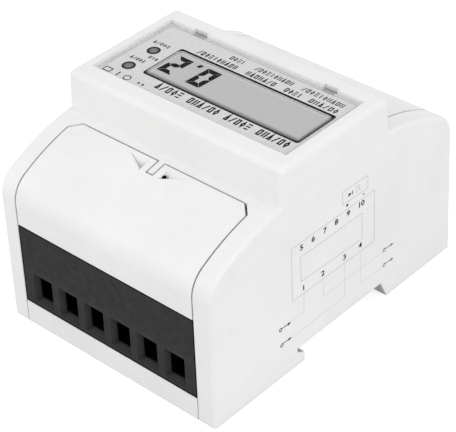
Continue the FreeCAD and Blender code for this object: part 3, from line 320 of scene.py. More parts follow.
def moulded(name, dark, light, rough=(0.35, 0.5), grain=0.0004, depth=0.00002, cloud=0.02, edge=0.0005,
            edge_tone=None, fine=0.35, **plain):
    """Moulded or coated surface: a cloudy tone between two colours, a grain, and softened, polished edges."""
    material = bpy.data.materials.new(name)
    material.use_nodes = True
    tree = material.node_tree
    shader = tree.nodes["Principled BSDF"]
    clouds = use(tree, CLOUDS, Size=cloud, Fine_Share=fine)
    edges = use(tree, EDGES, Radius=edge)
    tone = mixed(tree, clouds.outputs["Mask"], dark, light)
    worn = mixed(tree, edges.outputs["Mask"], tone, edge_tone or light)
    gloss = ramped(tree, clouds.outputs["Mask"], 0.0, 1.0, rough[1], rough[0], "LINEAR")
    pits = use(tree, GRAIN, Size=grain).outputs["Height"]
    bump = node(tree, "ShaderNodeBump", {"Height": pits, "Normal": edges.outputs["Normal"]}, Strength=1.0,
                Distance=depth)
    tree.links.new(worn, shader.inputs["Base Color"])
    tree.links.new(gloss, shader.inputs["Roughness"])
    tree.links.new(bump.outputs["Normal"], shader.inputs["Normal"])
    for key, value in plain.items():
        shader.inputs[key.replace("_", " ")].default_value = value
    return material


def dress(material, *names):
    """Give a finish to solids of the construction model."""
    for name in names:
        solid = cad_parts[name]
        solid.data.materials.clear()
        solid.data.materials.append(material)
    print(material.name, "on", len(names), "solids")


def grey(value):
    """Neutral colour."""
    return (value, value, value)


# %% [markdown]
# The housing and the covers are the same white plastic, but the covers come from a finer mould.
# The rail clip is black. Grey shade is painted into the narrow gaps of the white parts, where the shared mask
# finds them.

# %% Housing finishes
case_white = moulded("case_white", (0.83, 0.83, 0.825), (0.885, 0.885, 0.88), cloud=0.03)
cover_white = moulded("cover_white", (0.83, 0.83, 0.826), (0.88, 0.88, 0.876), cloud=0.025, grain=0.0003,
                      depth=0.00001, edge=0.0003)
clip_black = moulded("clip_black", grey(0.012), grey(0.026), rough=(0.5, 0.7), cloud=0.003, grain=0.0005,
                     depth=0.00003, edge=0.0003, edge_tone=grey(0.03), fine=0.6, Specular_IOR_Level=0.3)
GAP_SHADE_TOP = cad_high.z - 3.0 * MM


def shade_the_gaps(material):
    """Painted shade, grey, in the gaps, but none near the clear window, whose light the mask can't see."""
    tree = material.node_tree
    below = combined(tree, "LESS_THAN", axes_of(tree)["Z"], GAP_SHADE_TOP)
    tinted(tree, combined(tree, "MULTIPLY", use(tree, CREVICES).outputs["Mask"], below), grey(0.10))


# The narrow gaps of both white finishes get grey painted shade.
shade_the_gaps(case_white)
shade_the_gaps(cover_white)
dress(case_white, "main_housing", "base_housing")
dress(cover_white, "aux_terminal_cover", "mains_terminal_cover")
dress(clip_black, "rail_clip")

# %% [markdown]
# Two places are painted by a box of space that holds no other face of their piece. Faces picked by hand could
# carry a material of their own, but a list of face numbers tells a reader nothing, and a box of space does.
# The walls of the rail slot are greyer, because little light reaches them.
# The hole for the seal's wire runs crosswise through both lugs of a cover, too deep for light to leave it.

# %% Rail slot and seal hole
SEAL_AXIS_Y = 28.2 * MM
SEAL_AXIS_Z = 51.3 * MM
SEAL_HALF = 1.04 * MM
LUG_SIDE = 3.3 * MM
RAIL_MIDDLE_Y = 0.2 * MM
RAIL_SLOT_HALF = 20.6 * MM
RAIL_SLOT_DEEP = 5.66 * MM
SIDE_SKIN = 0.03 * MM

case_tree = case_white.node_tree
axes = axes_of(case_tree)
slot_limits = ((axes["X"], 0.0, cad_high.x - SIDE_SKIN), (axes["Y"], RAIL_MIDDLE_Y, RAIL_SLOT_HALF),
               (axes["Z"], RAIL_SLOT_DEEP / 2, RAIL_SLOT_DEEP / 2))
tinted(case_tree, inside_box(case_tree, slot_limits), grey(0.46))
cover_tree = cover_white.node_tree
axes = axes_of(cover_tree)
distance = combined(cover_tree, "ABSOLUTE", axes["Y"], 0.0)
seal_limits = ((axes["X"], 0.0, LUG_SIDE), (distance, SEAL_AXIS_Y, SEAL_HALF),
               (axes["Z"], SEAL_AXIS_Z, SEAL_HALF))
tinted(cover_tree, inside_box(cover_tree, seal_limits), grey(0.003))
print("slot walls painted up to z in mm:", round(RAIL_SLOT_DEEP / MM, 2))

# %% [markdown]
# A terminal block is a slightly mottled dark grey on its face, and its entries carry painted light and shade.
# Their first few millimetres, the lead-in, get painted light, and the depth behind gets painted shade, nearly
# black.
# Both are painted by how far a point lies behind the face, below the top of the entries only.
# The outermost half millimetre of the face is a painted black shadow, because the gap round it lets no light
# out.

# %% Terminal block finish
ENTRY_TOP = 19.0 * MM
LEAD_IN = 2.6 * MM
FACE_SIDE = 32.2 * MM
FACE_FOOT = 7.05 * MM
FACE_TOP = 32.7 * MM
FACE_SHADOW = 0.55 * MM
SKIN = 0.1 * MM
TOP_FADE = 0.3 * MM
DEPTH_FADE = 0.5 * MM
BLOCK_FACE = -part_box("aux_terminal_block")[0].y


def block_finish(name):
    """Dark grey block with painted light on its lead-ins, painted shade in its depths and a painted shadow
    round its face.
    """
    material = moulded(name, grey(0.031), grey(0.044), rough=(0.5, 0.7), cloud=0.002, grain=0.0005,
                       depth=0.00003, edge=0.0003, edge_tone=grey(0.05), fine=0.5, Specular_IOR_Level=0.04)
    tree = material.node_tree
    axes = axes_of(tree)
    behind = combined(tree, "SUBTRACT", BLOCK_FACE, combined(tree, "ABSOLUTE", axes["Y"], 0.0))
    low_zone = ramped(tree, axes["Z"], ENTRY_TOP, ENTRY_TOP + TOP_FADE, 1.0, 0.0)
    behind_face = ramped(tree, behind, SKIN, DEPTH_FADE, 0.0, 1.0)
    behind_lead_in = ramped(tree, behind, LEAD_IN, LEAD_IN + DEPTH_FADE, 0.0, 1.0)
    # Painted light on the lead-ins, then painted shade, nearly black, in the depths behind them.
    tinted(tree, combined(tree, "MULTIPLY", low_zone, behind_face), grey(0.078))
    tinted(tree, combined(tree, "MULTIPLY", low_zone, behind_lead_in), grey(0.002))
    to_side = combined(tree, "SUBTRACT", FACE_SIDE, combined(tree, "ABSOLUTE", axes["X"], 0.0))
    to_foot = combined(tree, "SUBTRACT", axes["Z"], FACE_FOOT)
    to_top = combined(tree, "SUBTRACT", FACE_TOP, axes["Z"])
    to_edge = combined(tree, "MINIMUM", to_side, combined(tree, "MINIMUM", to_foot, to_top))
    # Painted shadow: black along the edges of the face.
    tinted(tree, combined(tree, "LESS_THAN", to_edge, FACE_SHADOW), grey(0.001))
    return material


block_black = block_finish("block_black")
dress(block_black, "aux_terminal_block", "mains_terminal_block")
print("block faces at y in mm, both ways from the middle:", round(BLOCK_FACE / MM, 2))

# %% [markdown]
# The face plate is a grey film with a silver speckle, and the display behind it is a plain grey cell.
# The pane over them has to stay clear, so it lets light straight through and keeps only a thin gloss,
# which grows towards grazing views as it does on any clear sheet. At the roots of its two hooks it carries a
# faint painted shade.

# %% Window finishes
HOOK_X = 23.0 * MM
HOOK_HALF = 2.1 * MM
HOOK_MIDDLE = 1.32 * MM
HOOK_DEPTH = 0.38 * MM
HOOK_SHADE = 0.27
VEIL = 0.18
RIM_VEIL = 0.35
PANE_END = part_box("window")[1].y


def clear_pane(name):
    """Clear sheet: light passes straight through, but for a small share that grows at grazing views, and a
    faint painted shade at the hooks.
    """
    material = bpy.data.materials.new(name)
    material.use_nodes = True
    tree = material.node_tree
    shader = tree.nodes["Principled BSDF"]
    clouds = use(tree, CLOUDS, Size=0.03)
    edges = use(tree, EDGES, Radius=0.0003, Gain=3.0)
    facing = node(tree, "ShaderNodeLayerWeight", Blend=0.35)
    side = node(tree, "ShaderNodeNewGeometry")
    veil = ramped(tree, facing.outputs["Fresnel"], 0.0, 1.0, 0.0, VEIL, "LINEAR")
    rim = combined(tree, "MULTIPLY", edges.outputs["Mask"], RIM_VEIL)
    front = combined(tree, "SUBTRACT", 1.0, side.outputs["Backfacing"])
    cover = combined(tree, "MULTIPLY", combined(tree, "MAXIMUM", veil, rim), front)
    axes = axes_of(tree)
    aside = combined(tree, "ABSOLUTE", axes["X"], 0.0)
    # Painted shade at the roots of the two hooks: a dark colour over a box round each, only partly covering.
    hook = inside_box(tree, ((aside, HOOK_X, HOOK_HALF), (axes["Y"], PANE_END - HOOK_MIDDLE, HOOK_DEPTH)))
    held = combined(tree, "MAXIMUM", cover, combined(tree, "MULTIPLY", hook, HOOK_SHADE))
    smear = ramped(tree, clouds.outputs["Mask"], 0.0, 1.0, 0.03, 0.09, "LINEAR")
    tree.links.new(mixed(tree, hook, (0.86, 0.87, 0.88), grey(0.06)), shader.inputs["Base Color"])
    tree.links.new(held, shader.inputs["Alpha"])
    tree.links.new(smear, shader.inputs["Roughness"])
    tree.links.new(edges.outputs["Normal"], shader.inputs["Normal"])
    shader.inputs["IOR"].default_value = 1.49
    return material


label_grey = moulded("label_grey", grey(0.60), grey(0.74), rough=(0.28, 0.5), cloud=0.0012, grain=0.00018,
                     depth=0.000008, edge=0.0001, fine=0.6)
window_clear = clear_pane("window_clear")
led_grey = moulded("led_grey", grey(0.19), grey(0.25), rough=(0.2, 0.3), cloud=0.002, depth=0.000003)
frame_white = moulded("frame_white", grey(0.72), grey(0.80), cloud=0.01)
dress(label_grey, "label_plate")
dress(window_clear, "window")
dress(led_grey, "power_led", "pulse_led")
dress(frame_white, "lcd_frame")

# %% [markdown]
# Seen through its opening the display is an even grey, but the opening's own edge shades it.
# The shade is widest along the near edge and at the right end, where the plate keeps the light off the cell.
# It is painted by place: two ramps across the cell, one per edge, and the stronger of the two wins.
# Along the other two edges the cell is painted lighter, because the lit walls beside them throw light on it.

# %% Display cell
WALL_HIDES = 0.44 * MM
SHADE_REACH = 1.65 * MM
SHADE_END_REACH = 1.15 * MM
LIFT_REACH = 1.3 * MM
GLASS_BORDER = 0.9 * MM
glass_low, glass_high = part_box("lcd_glass")
show_low = glass_low + Vector((GLASS_BORDER, GLASS_BORDER, 0.0))
show_high = glass_high - Vector((GLASS_BORDER, GLASS_BORDER, 0.0))


def display_cell(name):
    """Grey cell, darkened along the near edge and the right end of its opening."""
    material = moulded(name, (0.47, 0.47, 0.48), (0.50, 0.50, 0.51), rough=(0.12, 0.2), cloud=0.02,
                       grain=0.0002, depth=0.000002, edge=0.0001)
    tree = material.node_tree
    axes = axes_of(tree)
    far = ramped(tree, axes["Y"], show_high.y - LIFT_REACH, show_high.y, 0.0, 1.0, "LINEAR")
    left = ramped(tree, axes["X"], show_low.x, show_low.x + LIFT_REACH, 1.0, 0.0, "LINEAR")
    tinted(tree, combined(tree, "MAXIMUM", far, left), grey(0.64))
    start_y = show_low.y + WALL_HIDES
    start_x = show_high.x - WALL_HIDES
    near = ramped(tree, axes["Y"], start_y, start_y + SHADE_REACH, 1.0, 0.0, "LINEAR")
    right = ramped(tree, axes["X"], start_x - SHADE_END_REACH, start_x, 0.0, 1.0, "LINEAR")
    tinted(tree, combined(tree, "MAXIMUM", near, right), grey(0.004))
    return material


lcd_grey = display_cell("lcd_grey")
dress(lcd_grey, "lcd_glass")
print("display opening in mm:", [round(v / MM, 2) for v in (*show_low.xy, *show_high.xy)])

# %% [markdown]
# Metal parts are punched, rolled or turned, and each leaves its own fine lines.
# One shared effect stretches a noise along one direction, and the finish uses it for tone, gloss and height.

# %% Metal finishes
EDGE_GAIN = 1.15


def make_lines():
    """Fine parallel lines: noise squeezed across one direction, chosen by a mapping scale."""
    tree, start, end = group("lines", {"Along": 60.0, "Across": 2500.0}, {"Mask": "NodeSocketFloat"})
    stretch = node(tree, "ShaderNodeCombineXYZ", {"X": start.outputs["Across"], "Y": start.outputs["Along"],
                                                  "Z": start.outputs["Across"]})
    squeezed = node(tree, "ShaderNodeVectorMath", {0: place_of(tree), 1: stretch.outputs["Vector"]},
                    operation="MULTIPLY")
    noise = node(tree, "ShaderNodeTexNoise", {"Vector": squeezed.outputs["Vector"]}, Scale=1.0, Detail=3.0)
    tree.links.new(noise.outputs["Fac"], end.inputs["Mask"])
    return tree


LINES = make_lines()


def drawn_metal(name, dark, light, rough=(0.22, 0.4), along=60.0, across=2500.0, edge=0.0002):
    """Rolled, drawn or plated metal: fine lines in tone, gloss and height, and bright edges."""
    material = bpy.data.materials.new(name)
    material.use_nodes = True
    tree = material.node_tree
    shader = tree.nodes["Principled BSDF"]
    shader.inputs["Metallic"].default_value = 1.0
    lines = use(tree, LINES, Along=along, Across=across)
    clouds = use(tree, CLOUDS, Size=0.006)
    edges = use(tree, EDGES, Radius=edge)
    tone = mixed(tree, clouds.outputs["Mask"], dark, light)
    bright = mixed(tree, edges.outputs["Mask"], tone, tuple(min(1.0, EDGE_GAIN * v) for v in light))
    gloss = ramped(tree, lines.outputs["Mask"], 0.0, 1.0, rough[0], rough[1], "LINEAR")
    bump = node(tree, "ShaderNodeBump", {"Height": lines.outputs["Mask"], "Normal": edges.outputs["Normal"]},
                Strength=1.0, Distance=0.000006)
    tree.links.new(bright, shader.inputs["Base Color"])
    tree.links.new(gloss, shader.inputs["Roughness"])
    tree.links.new(bump.outputs["Normal"], shader.inputs["Normal"])
    return material


steel_zinc = drawn_metal("steel_zinc", (0.52, 0.53, 0.54), (0.66, 0.66, 0.65))
spring_steel = drawn_metal("spring_steel", grey(0.36), grey(0.50), rough=(0.18, 0.3))
bar_tinned = drawn_metal("bar_tinned", (0.62, 0.61, 0.58), (0.76, 0.75, 0.71), rough=(0.3, 0.45))
bar_copper = drawn_metal("bar_copper", (0.62, 0.30, 0.19), (0.78, 0.43, 0.29))
shunt_alloy = drawn_metal("shunt_alloy", (0.42, 0.34, 0.26), (0.56, 0.46, 0.36))
crystal_can = drawn_metal("crystal_can", grey(0.60), grey(0.72), rough=(0.12, 0.25))
ROWS = {"aux": range(5, 11), "mains": range(1, 5)}
CLAMPS = ["%s_%s_%d" % (row, part, n)
          for row, ways in ROWS.items() for part in ("screw", "cage") for n in ways]
dress(steel_zinc, "housing_screws", "board_screws", *CLAMPS)
dress(spring_steel, "rail_clip_spring")
dress(bar_tinned, "aux_contact_bars")
dress(bar_copper, "live_in_bar", "live_out_bar", "neutral_bar")
dress(shunt_alloy, "shunt")
dress(crystal_can, "crystal")

# %% [markdown]
# What is inside only shows when the meter is taken apart, but it is finished all the same.
# The boards carry copper tracks under their green lacquer, drawn by a pattern of offset bricks.

# %% Inner finishes
TRACKS = {"Scale": 1.0, "Brick Width": 7.5 * MM, "Row Height": 1.6 * MM, "Mortar Size": 0.22 * MM,
          "Mortar Smooth": 0.2}


def circuit_board(name):
    """Green lacquer over tracks: a brick pattern's joints are the tracks, slightly lighter and raised."""
    material = moulded(name, (0.014, 0.10, 0.035), (0.02, 0.14, 0.05), rough=(0.2, 0.32), cloud=0.01)
    tree = material.node_tree
    tracks = node(tree, "ShaderNodeTexBrick", {"Vector": place_of(tree)}, offset=0.37, squash=1.0, **TRACKS)
    tinted(tree, tracks.outputs["Fac"], (0.05, 0.27, 0.09))
    raised = node(tree, "ShaderNodeBump", {"Height": tracks.outputs["Fac"]}, Strength=1.0, Distance=0.04 * MM)
    tree.links.new(raised.outputs["Normal"], tree.nodes["Principled BSDF"].inputs["Normal"])
    return material


board_green = circuit_board("board_green")
chip_black = moulded("chip_black", grey(0.018), grey(0.032), cloud=0.003, edge=0.0001, edge_tone=grey(0.05))
strip_rubber = moulded("strip_rubber", grey(0.07), grey(0.11), rough=(0.7, 0.85), cloud=0.003)
film_yellow = moulded("film_yellow", (0.62, 0.40, 0.06), (0.76, 0.53, 0.11), rough=(0.2, 0.35), cloud=0.006)
can_sleeve = moulded("can_sleeve", (0.03, 0.035, 0.06), (0.05, 0.06, 0.10), rough=(0.2, 0.32), cloud=0.005)
disc_blue = moulded("disc_blue", (0.04, 0.11, 0.32), (0.07, 0.18, 0.45), rough=(0.25, 0.4), cloud=0.003)
header_black = moulded("header_black", grey(0.03), grey(0.05), rough=(0.4, 0.55), cloud=0.004)
dress(board_green, "main_board", "power_board")
dress(chip_black, "metering_chip", "controller_chip", "optocouplers")
dress(strip_rubber, "lcd_contact_strip")
dress(film_yellow, "dropper_capacitor")
dress(can_sleeve, "smoothing_capacitor")
dress(disc_blue, "varistor")
dress(header_black, "board_link")

# %% [markdown]
# Everything printed on the meter is a skin of ink a few hundredths of a millimetre thick.
# A picture could carry it, but a real skin keeps sharp edges at any distance and exports as a mesh.
# Each line of ink is a small rectangle carried along a path, with mitred corners.

# %% Printing tools
INK = 0.00002


def carried(path, half_width, normal, closed=False, thick=INK):
    """A rectangular bead along a path that lies in a plane. At each point the side vector is the sum of the
    two neighbouring side vectors over one plus their product, which gives a mitre of constant width."""
    path = np.asarray(path, float)
    normal = np.asarray(normal, float)
    step = np.roll(path, -1, axis=0) - path
    if not closed:
        step[-1] = step[-2]
    step /= np.linalg.norm(step, axis=1, keepdims=True)
    side = np.cross(normal, step)
    before = np.roll(side, 1, axis=0)
    if not closed:
        before[0] = side[0]
    mitre = (side + before) / (1.0 + (side * before).sum(axis=1, keepdims=True))
    return band(path - mitre * half_width, path + mitre * half_width, normal, closed, thick)


def band(low, high, normal, closed=True, thick=INK):
    """The strip between two lines with the same number of points, raised by its thickness."""
    rise = np.asarray(normal, float) * thick
    ring = np.stack([low, high, high + rise, low + rise], axis=1)
    count = len(low)
    corner = np.arange(count)[:, None] * 4 + np.arange(4)
    follow = np.roll(corner, -1, axis=0)
    quads = np.stack([corner, np.roll(corner, -1, axis=1), np.roll(follow, -1, axis=1), follow], axis=2)
    quads = quads if closed else quads[:-1]
    faces = quads.reshape(-1, 4)
    if not closed:
        faces = np.vstack([faces, corner[:1, ::-1], corner[-1:]])
    return ring.reshape(-1, 3), faces


def plate(outline, normal, thick=INK):
    """A flat convex patch from its outline: the outline, a raised copy, and a wall between them."""
    outline = np.asarray(outline, float)
    raised = outline + np.asarray(normal, float) * thick
    count = len(outline)
    low = np.arange(count)
    follow = np.roll(low, -1)
    walls = np.stack([low, follow, follow + count, low + count], axis=1)
    return np.vstack([outline, raised]), walls.tolist() + [list(low[::-1]), list(low + count)]


def turn_outwards(mesh):
    """Make every closed shell's faces point away from its inside."""
    work = bmesh.new()
    work.from_mesh(mesh)
    bmesh.ops.recalc_face_normals(work, faces=work.faces)
    work.to_mesh(mesh)
    work.free()


def piece(name, parts, material, body):
    """One object from several patches. Faces are turned outwards, and the object rides on a body."""
    corners = []
    faces = []
    for points, patch in parts:
        start = sum(len(c) for c in corners)
        corners.append(points)
        faces += [[int(n) + start for n in face] for face in patch]
    mesh = bpy.data.meshes.new(name)
    mesh.from_pydata(np.vstack(corners).tolist(), [], faces)
    mesh.validate()
    mesh.materials.append(material)
    obj = bpy.data.objects.new(name, mesh)
    bpy.context.scene.collection.objects.link(obj)
    turn_outwards(mesh)
    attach(obj, body)
    print(name, len(mesh.polygons), "faces")
    return obj


def ink(name, tone, spread=0.25):
    """Printed ink: nearly even, with the small uneven cover that screen printing leaves."""
    return moulded(name, grey(tone), grey(tone * (1 + spread)), rough=(0.45, 0.6), cloud=0.0008, grain=0.0001,
                   depth=0.000002, edge=0.00002, Specular_IOR_Level=0.03)


black_ink = ink("black_ink", 0.0015)
dark_ink = ink("dark_ink", 0.005)
number_ink = ink("number_ink", 0.025)
grey_ink = ink("grey_ink", 0.14)
line_ink = ink("line_ink", 0.36, 0.1)
pale_ink = ink("pale_ink", 0.58, 0.08)
faint_ink = ink("faint_ink", 0.68, 0.06)
INKS = (black_ink, dark_ink, number_ink, grey_ink, line_ink, pale_ink, faint_ink)
print("inks:", [made.name for made in INKS])

# %% [markdown]
# The display opening has a printed black line round it, and a thin grey line runs inside the window's edge.
# Each is the strip between two closed loops, so its four sides can differ in width.
# The film runs on over the lamps: a black ring round each, and inside it a smoky spot with a darker rim.

# %% Display border, window line and lamp spots
UP = (0.0, 0.0, 1.0)
BORDER_IN = (0.0, 0.0, 0.0, 0.0)
BORDER_OUT = (0.32, 0.5, 0.55, 0.78)
LINE_IN = (-1.1, -1.1, -1.1, -1.1)
LINE_OUT = (-0.9, -0.9, -0.9, -0.9)
label_low, label_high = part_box("label_plate")
LABEL_TOP = label_high.z
GLASS_TOP = glass_high.z


def rounded_loop(x0, x1, y0, y1, radius, z, steps=8):
    """Rounded rectangle, counter-clockwise: four quarter circles joined by the straight runs between them."""
    angles = np.linspace(0.0, math.pi / 2, steps + 1)
    centres = np.array([[x1 - radius, y1 - radius], [x0 + radius, y1 - radius], [x0 + radius, y0 + radius],
                        [x1 - radius, y0 + radius]])
    turn = angles[None, :] + np.arange(4)[:, None] * math.pi / 2
    ring = centres[:, None, :] + radius * np.stack([np.cos(turn), np.sin(turn)], axis=2)
    flat = ring.reshape(-1, 2)
    return np.column_stack([flat, np.full(len(flat), z)])


def circle(x, y, z, radius, steps=48):
    """Full circle, counter-clockwise, without a repeated last point."""
    angles = np.arange(steps) * 2 * math.pi / steps
    return np.column_stack([x + radius * np.cos(angles), y + radius * np.sin(angles), np.full(steps, z)])


def grown(low, high, sides, corner):
    """Rounded loop on the plate's top: a rectangle with its left, right, near and far side each moved
    outwards by its own amount, and with a corner radius, all in mm."""
    left, right, near, far = np.asarray(sides) * MM
    return rounded_loop(low.x - left, high.x + right, low.y - near, high.y + far, corner * MM, LABEL_TOP)


border = band(grown(show_low, show_high, BORDER_IN, 1.5), grown(show_low, show_high, BORDER_OUT, 0.9), UP)
piece("display_border", [border], black_ink, "root")
window_line = band(grown(label_low, label_high, LINE_IN, 0.5),
                   grown(label_low, label_high, LINE_OUT, 0.7), UP)
piece("window_line", [window_line], line_ink, "root")

RING_IN = 1.4 * MM
RING_OUT = 1.95 * MM
LENS_CORE = 0.95 * MM
lens_rim = ink("lens_rim", 0.11)
lens_core = ink("lens_core", 0.185)
rings = []
rims = []
cores = []
for lamp_name in ("power_led", "pulse_led"):
    low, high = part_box(lamp_name)
    x, y = (low.xy + high.xy) / 2
    core, inner, outer = (circle(x, y, LABEL_TOP, radius) for radius in (LENS_CORE, RING_IN, RING_OUT))
    rings.append(band(inner, outer, UP))
    rims.append(band(core, inner, UP))
    cores.append(plate(core, UP))
piece("lamp_rings", rings, black_ink, "root")
piece("lamp_spot_rims", rims, lens_rim, "root")
piece("lamp_spots", cores, lens_core, "root")

# %% [markdown]
# The reading is made of seven-segment digits, lying a hair above the glass cell.
# Four bars run along a digit's outline and meet in slanted cuts; the one across the middle has pointed ends.
# Only three shapes are drawn. The others are their mirror images across the middle of the digit.
# The page is read from the mains end, so its right is -X and its top is -Y. The digits lean to the right.

# %% Display digits
LIT = {"0": "abcdef", "2": "abged"}
DIGIT_WIDTH = 5.0
DIGIT_HEIGHT = 8.85
DIGIT_LEAN = 0.074
SEGMENT = 1.7
CUT = 0.08
DIGIT_FOOT_Y = 4.52
DIGITS = (("0", -5.1), ("2", -15.5))
POINT_CORNERS = ((-13.5, 3.2), (-12.3, 3.1), (-11.8, 4.5), (-13.0, 4.6))


def segments():
    """The seven bars as corner lists on the page, in mm, from three drawn ones and their mirror images."""
    wide, high, bar, mid = DIGIT_WIDTH, DIGIT_HEIGHT, SEGMENT, DIGIT_HEIGHT / 2
    top = np.array([(CUT, high), (wide - CUT, high), (wide - bar - CUT, high - bar), (bar + CUT, high - bar)])
    side = np.array([(wide, high - CUT), (wide, mid + CUT), (wide - bar / 2, mid + CUT),
                     (wide - bar, mid + bar / 2 + CUT), (wide - bar, high - bar - CUT)])
    middle = np.array([(bar / 2 + CUT, mid), (bar + CUT, mid + bar / 2), (wide - bar - CUT, mid + bar / 2),
                       (wide - bar / 2 - CUT, mid), (wide - bar - CUT, mid - bar / 2),
                       (bar + CUT, mid - bar / 2)])
    over = np.array((wide, 0.0)), np.array((-1.0, 1.0))
    down = np.array((0.0, high)), np.array((1.0, -1.0))
    mirrored = {"a": top, "b": side, "g": middle, "d": down[0] + down[1] * top, "c": down[0] + down[1] * side}
    mirrored["f"] = over[0] + over[1] * side
    mirrored["e"] = over[0] + over[1] * mirrored["c"]
    return mirrored


def on_page(page, left, foot):
    """Page coordinates turned into the frame: the page's right is -X and its top is -Y, and it leans."""
    across, up = page.T
    return np.column_stack([left - across - DIGIT_LEAN * up, foot - up])


def on_glass(flat):
    """A patch on the glass cell from its outline in mm."""
    return plate(np.column_stack([np.asarray(flat) * MM, np.full(len(flat), GLASS_TOP)]), UP)


bars = segments()
reading = [on_glass(on_page(bars[letter], left, DIGIT_FOOT_Y))
           for digit, left in DIGITS for letter in LIT[digit]]
reading.append(on_glass(POINT_CORNERS))
piece("display_reading", reading, black_ink, "root")

# %% [markdown]
# The plate is printed with rows of small plain shapes: boxes, bars, wedges and diamonds.
# Each is a short path drawn with the bead, so one list of paths serves every row.
# A row has its middle, its height, half the width of its lines, and then its groups, each with its right end,
# its left end and its number of places. A shape takes up the middle of its place and leaves the rest free.

# %% Rows of plain shapes on the plate
ORDER = ("box", "wedge", "pair", "diamond", "bar", "levels", "diamond", "box", "slant", "wedge", "pair")
CLOSED = ("box", "wedge", "diamond")
HALF_SHARE = 0.36
TITLE = (-10.55, 2.7, 0.235, ((31.2, 20.4, 6), (18.3, 9.4, 5), (7.3, -3.6, 6), (-5.7, -15.1, 5)))
NEAR_ROW = (8.75, 1.9, 0.18, ((31.1, 21.4, 6), (18.9, 13.0, 4), (9.9, -0.4, 7), (-3.7, -18.0, 10)))
FAR_ROW = (11.85, 1.75, 0.15, ((30.7, 16.4, 10), (13.4, 0.1, 10), (-3.7, -8.9, 4)))
CAPTIONS = ((5.3, 1.3, 0.13, ((-25.2, -31.3, 5),)), (-4.3, 1.3, 0.13, ((-25.4, -30.8, 5),)),
            (-1.45, 1.3, 0.16, ((-23.3, -26.7, 3),)))


def on_label(places):
    """Places on the plate, in mm along X and Y, as points of the frame."""
    flat = np.asarray(places, float) * MM
    return np.column_stack([flat, np.full(len(flat), LABEL_TOP)])


def shape(kind, x, y, wide, high, half):
    """One plain shape around a place: its lines keep inside the given half width and half height."""
    w = wide - half
    h = high - half
    lines = {"bar": [((x, y - high), (x, y + high))],
             "slant": [((x - w, y - high), (x + w, y + high))],
             "pair": [((x - w, y - high), (x - w, y + high)), ((x + w, y - high), (x + w, y + high))],
             "levels": [((x - wide, y + level * h), (x + wide, y + level * h)) for level in (-1, 0, 1)],
             "box": [((x - w, y - h), (x + w, y - h), (x + w, y + h), (x - w, y + h))],
             "wedge": [((x - w, y - h), (x + w, y - h), (x, y + h))],
             "diamond": [((x, y - h), (x + w, y), (x, y + h), (x - w, y))]}
    return [carried(on_label(line), half * MM, UP, closed=kind in CLOSED) for line in lines[kind]]


def row_of_shapes(middle_y, height, half, groups):
    """Shapes at even steps in each group, taken from one short list over and over."""
    made = []
    for right, left, places in groups:
        pitch = (right - left) / places
        for step in range(places):
            kind = ORDER[(step + places) % len(ORDER)]
            made += shape(kind, right - pitch * (step + 0.5), middle_y, HALF_SHARE * pitch, height / 2, half)
    return made


piece("plate_title", row_of_shapes(*TITLE), black_ink, "root")
small_rows = [part for row in (NEAR_ROW, FAR_ROW, *CAPTIONS) for part in row_of_shapes(*row)]
piece("plate_rows", small_rows, dark_ink, "root")

# %% [markdown]
# Four small shapes stand at the near left of the plate: a box, an upright bar, a ring and a pair of dots.
# The first three are beads along a path, and the dots are flat patches.

# %% Small shapes on the plate
SIGN_Y = -12.85 * MM
SIGN_HALF = 0.15 * MM
SIGN_DOT = 0.42 * MM
BAR_X = -27.1 * MM


def sign_box(x, y, wide, deep):
    """Outline of a small rectangle."""
    path = [(x - wide, y - deep, LABEL_TOP), (x + wide, y - deep, LABEL_TOP), (x + wide, y + deep, LABEL_TOP),
            (x - wide, y + deep, LABEL_TOP)]
    return carried(path, SIGN_HALF, UP, closed=True)


bar_ends = [(BAR_X, SIGN_Y - 1.0 * MM, LABEL_TOP), (BAR_X, SIGN_Y + 1.0 * MM, LABEL_TOP)]
signs = [
    sign_box(-31.0 * MM, SIGN_Y, 1.2 * MM, 0.85 * MM),
    carried(bar_ends, SIGN_HALF * 1.4, UP),
    carried(circle(-23.7 * MM, SIGN_Y, LABEL_TOP, 1.05 * MM, 32), SIGN_HALF, UP, closed=True),
]
signs += [plate(circle(x * MM, SIGN_Y, LABEL_TOP, SIGN_DOT, 20), UP) for x in (-19.4, -17.9)]
piece("plate_signs", signs, black_ink, "root")

# %% [markdown]
# The right side carries a wiring diagram: two nested frames, four leads with arrows, and the numbers
# of the ten terminals. It is drawn on the side wall with the same beads, in (y, z) places along the wall.
# The frames print pale and the leads paler still. The arrows, all pointing one way, are the darkest lines.

# %% Side diagram
SIDE = (1.0, 0.0, 0.0)
SIDE_X = cad_high.x
LINE_HALF = 0.11 * MM
LEAD_HALF = 0.09 * MM
ARROW_HALF = 0.13 * MM
START_HALF = 0.14 * MM
START_RING = 0.5
OUTER_FRAME = ((-18.7, 39.4), (15.1, 39.1), (15.1, 22.2), (-18.8, 22.5))
INNER_FRAME = ((-15.2, 34.8), (9.9, 34.4), (9.9, 26.0), (-15.2, 26.9))
SMALL_BOX = ((1.9, 45.7), (12.3, 45.3), (12.3, 41.3), (1.9, 41.6))
LEADS = (((-14.2, 22.5), (-14.4, 16.5), (-19.6, 16.4)),
         ((2.5, 22.0), (2.4, 11.0), (-19.7, 10.7)),
         ((-6.3, 21.8), (-6.3, 16.6), (19.0, 16.2)),
         ((9.3, 21.7), (9.3, 11.2), (19.0, 11.0)))
PULSE = ((7.0, 42.7), (7.7, 42.7), (7.7, 44.3), (8.7, 44.3), (8.7, 42.7), (9.4, 42.7))
MARKS = (((12.3, 34.1), (12.5, 34.8)), ((12.3, 28.4), (12.5, 29.1)))
DOTS = ((3.74, 40.5, 0.42), (10.6, 40.3, 0.3))
LEFT_ARROWS = ((-23.0, 16.3), (-22.9, 11.1))
RIGHT_ARROWS = ((20.2, 16.65), (20.2, 11.5))
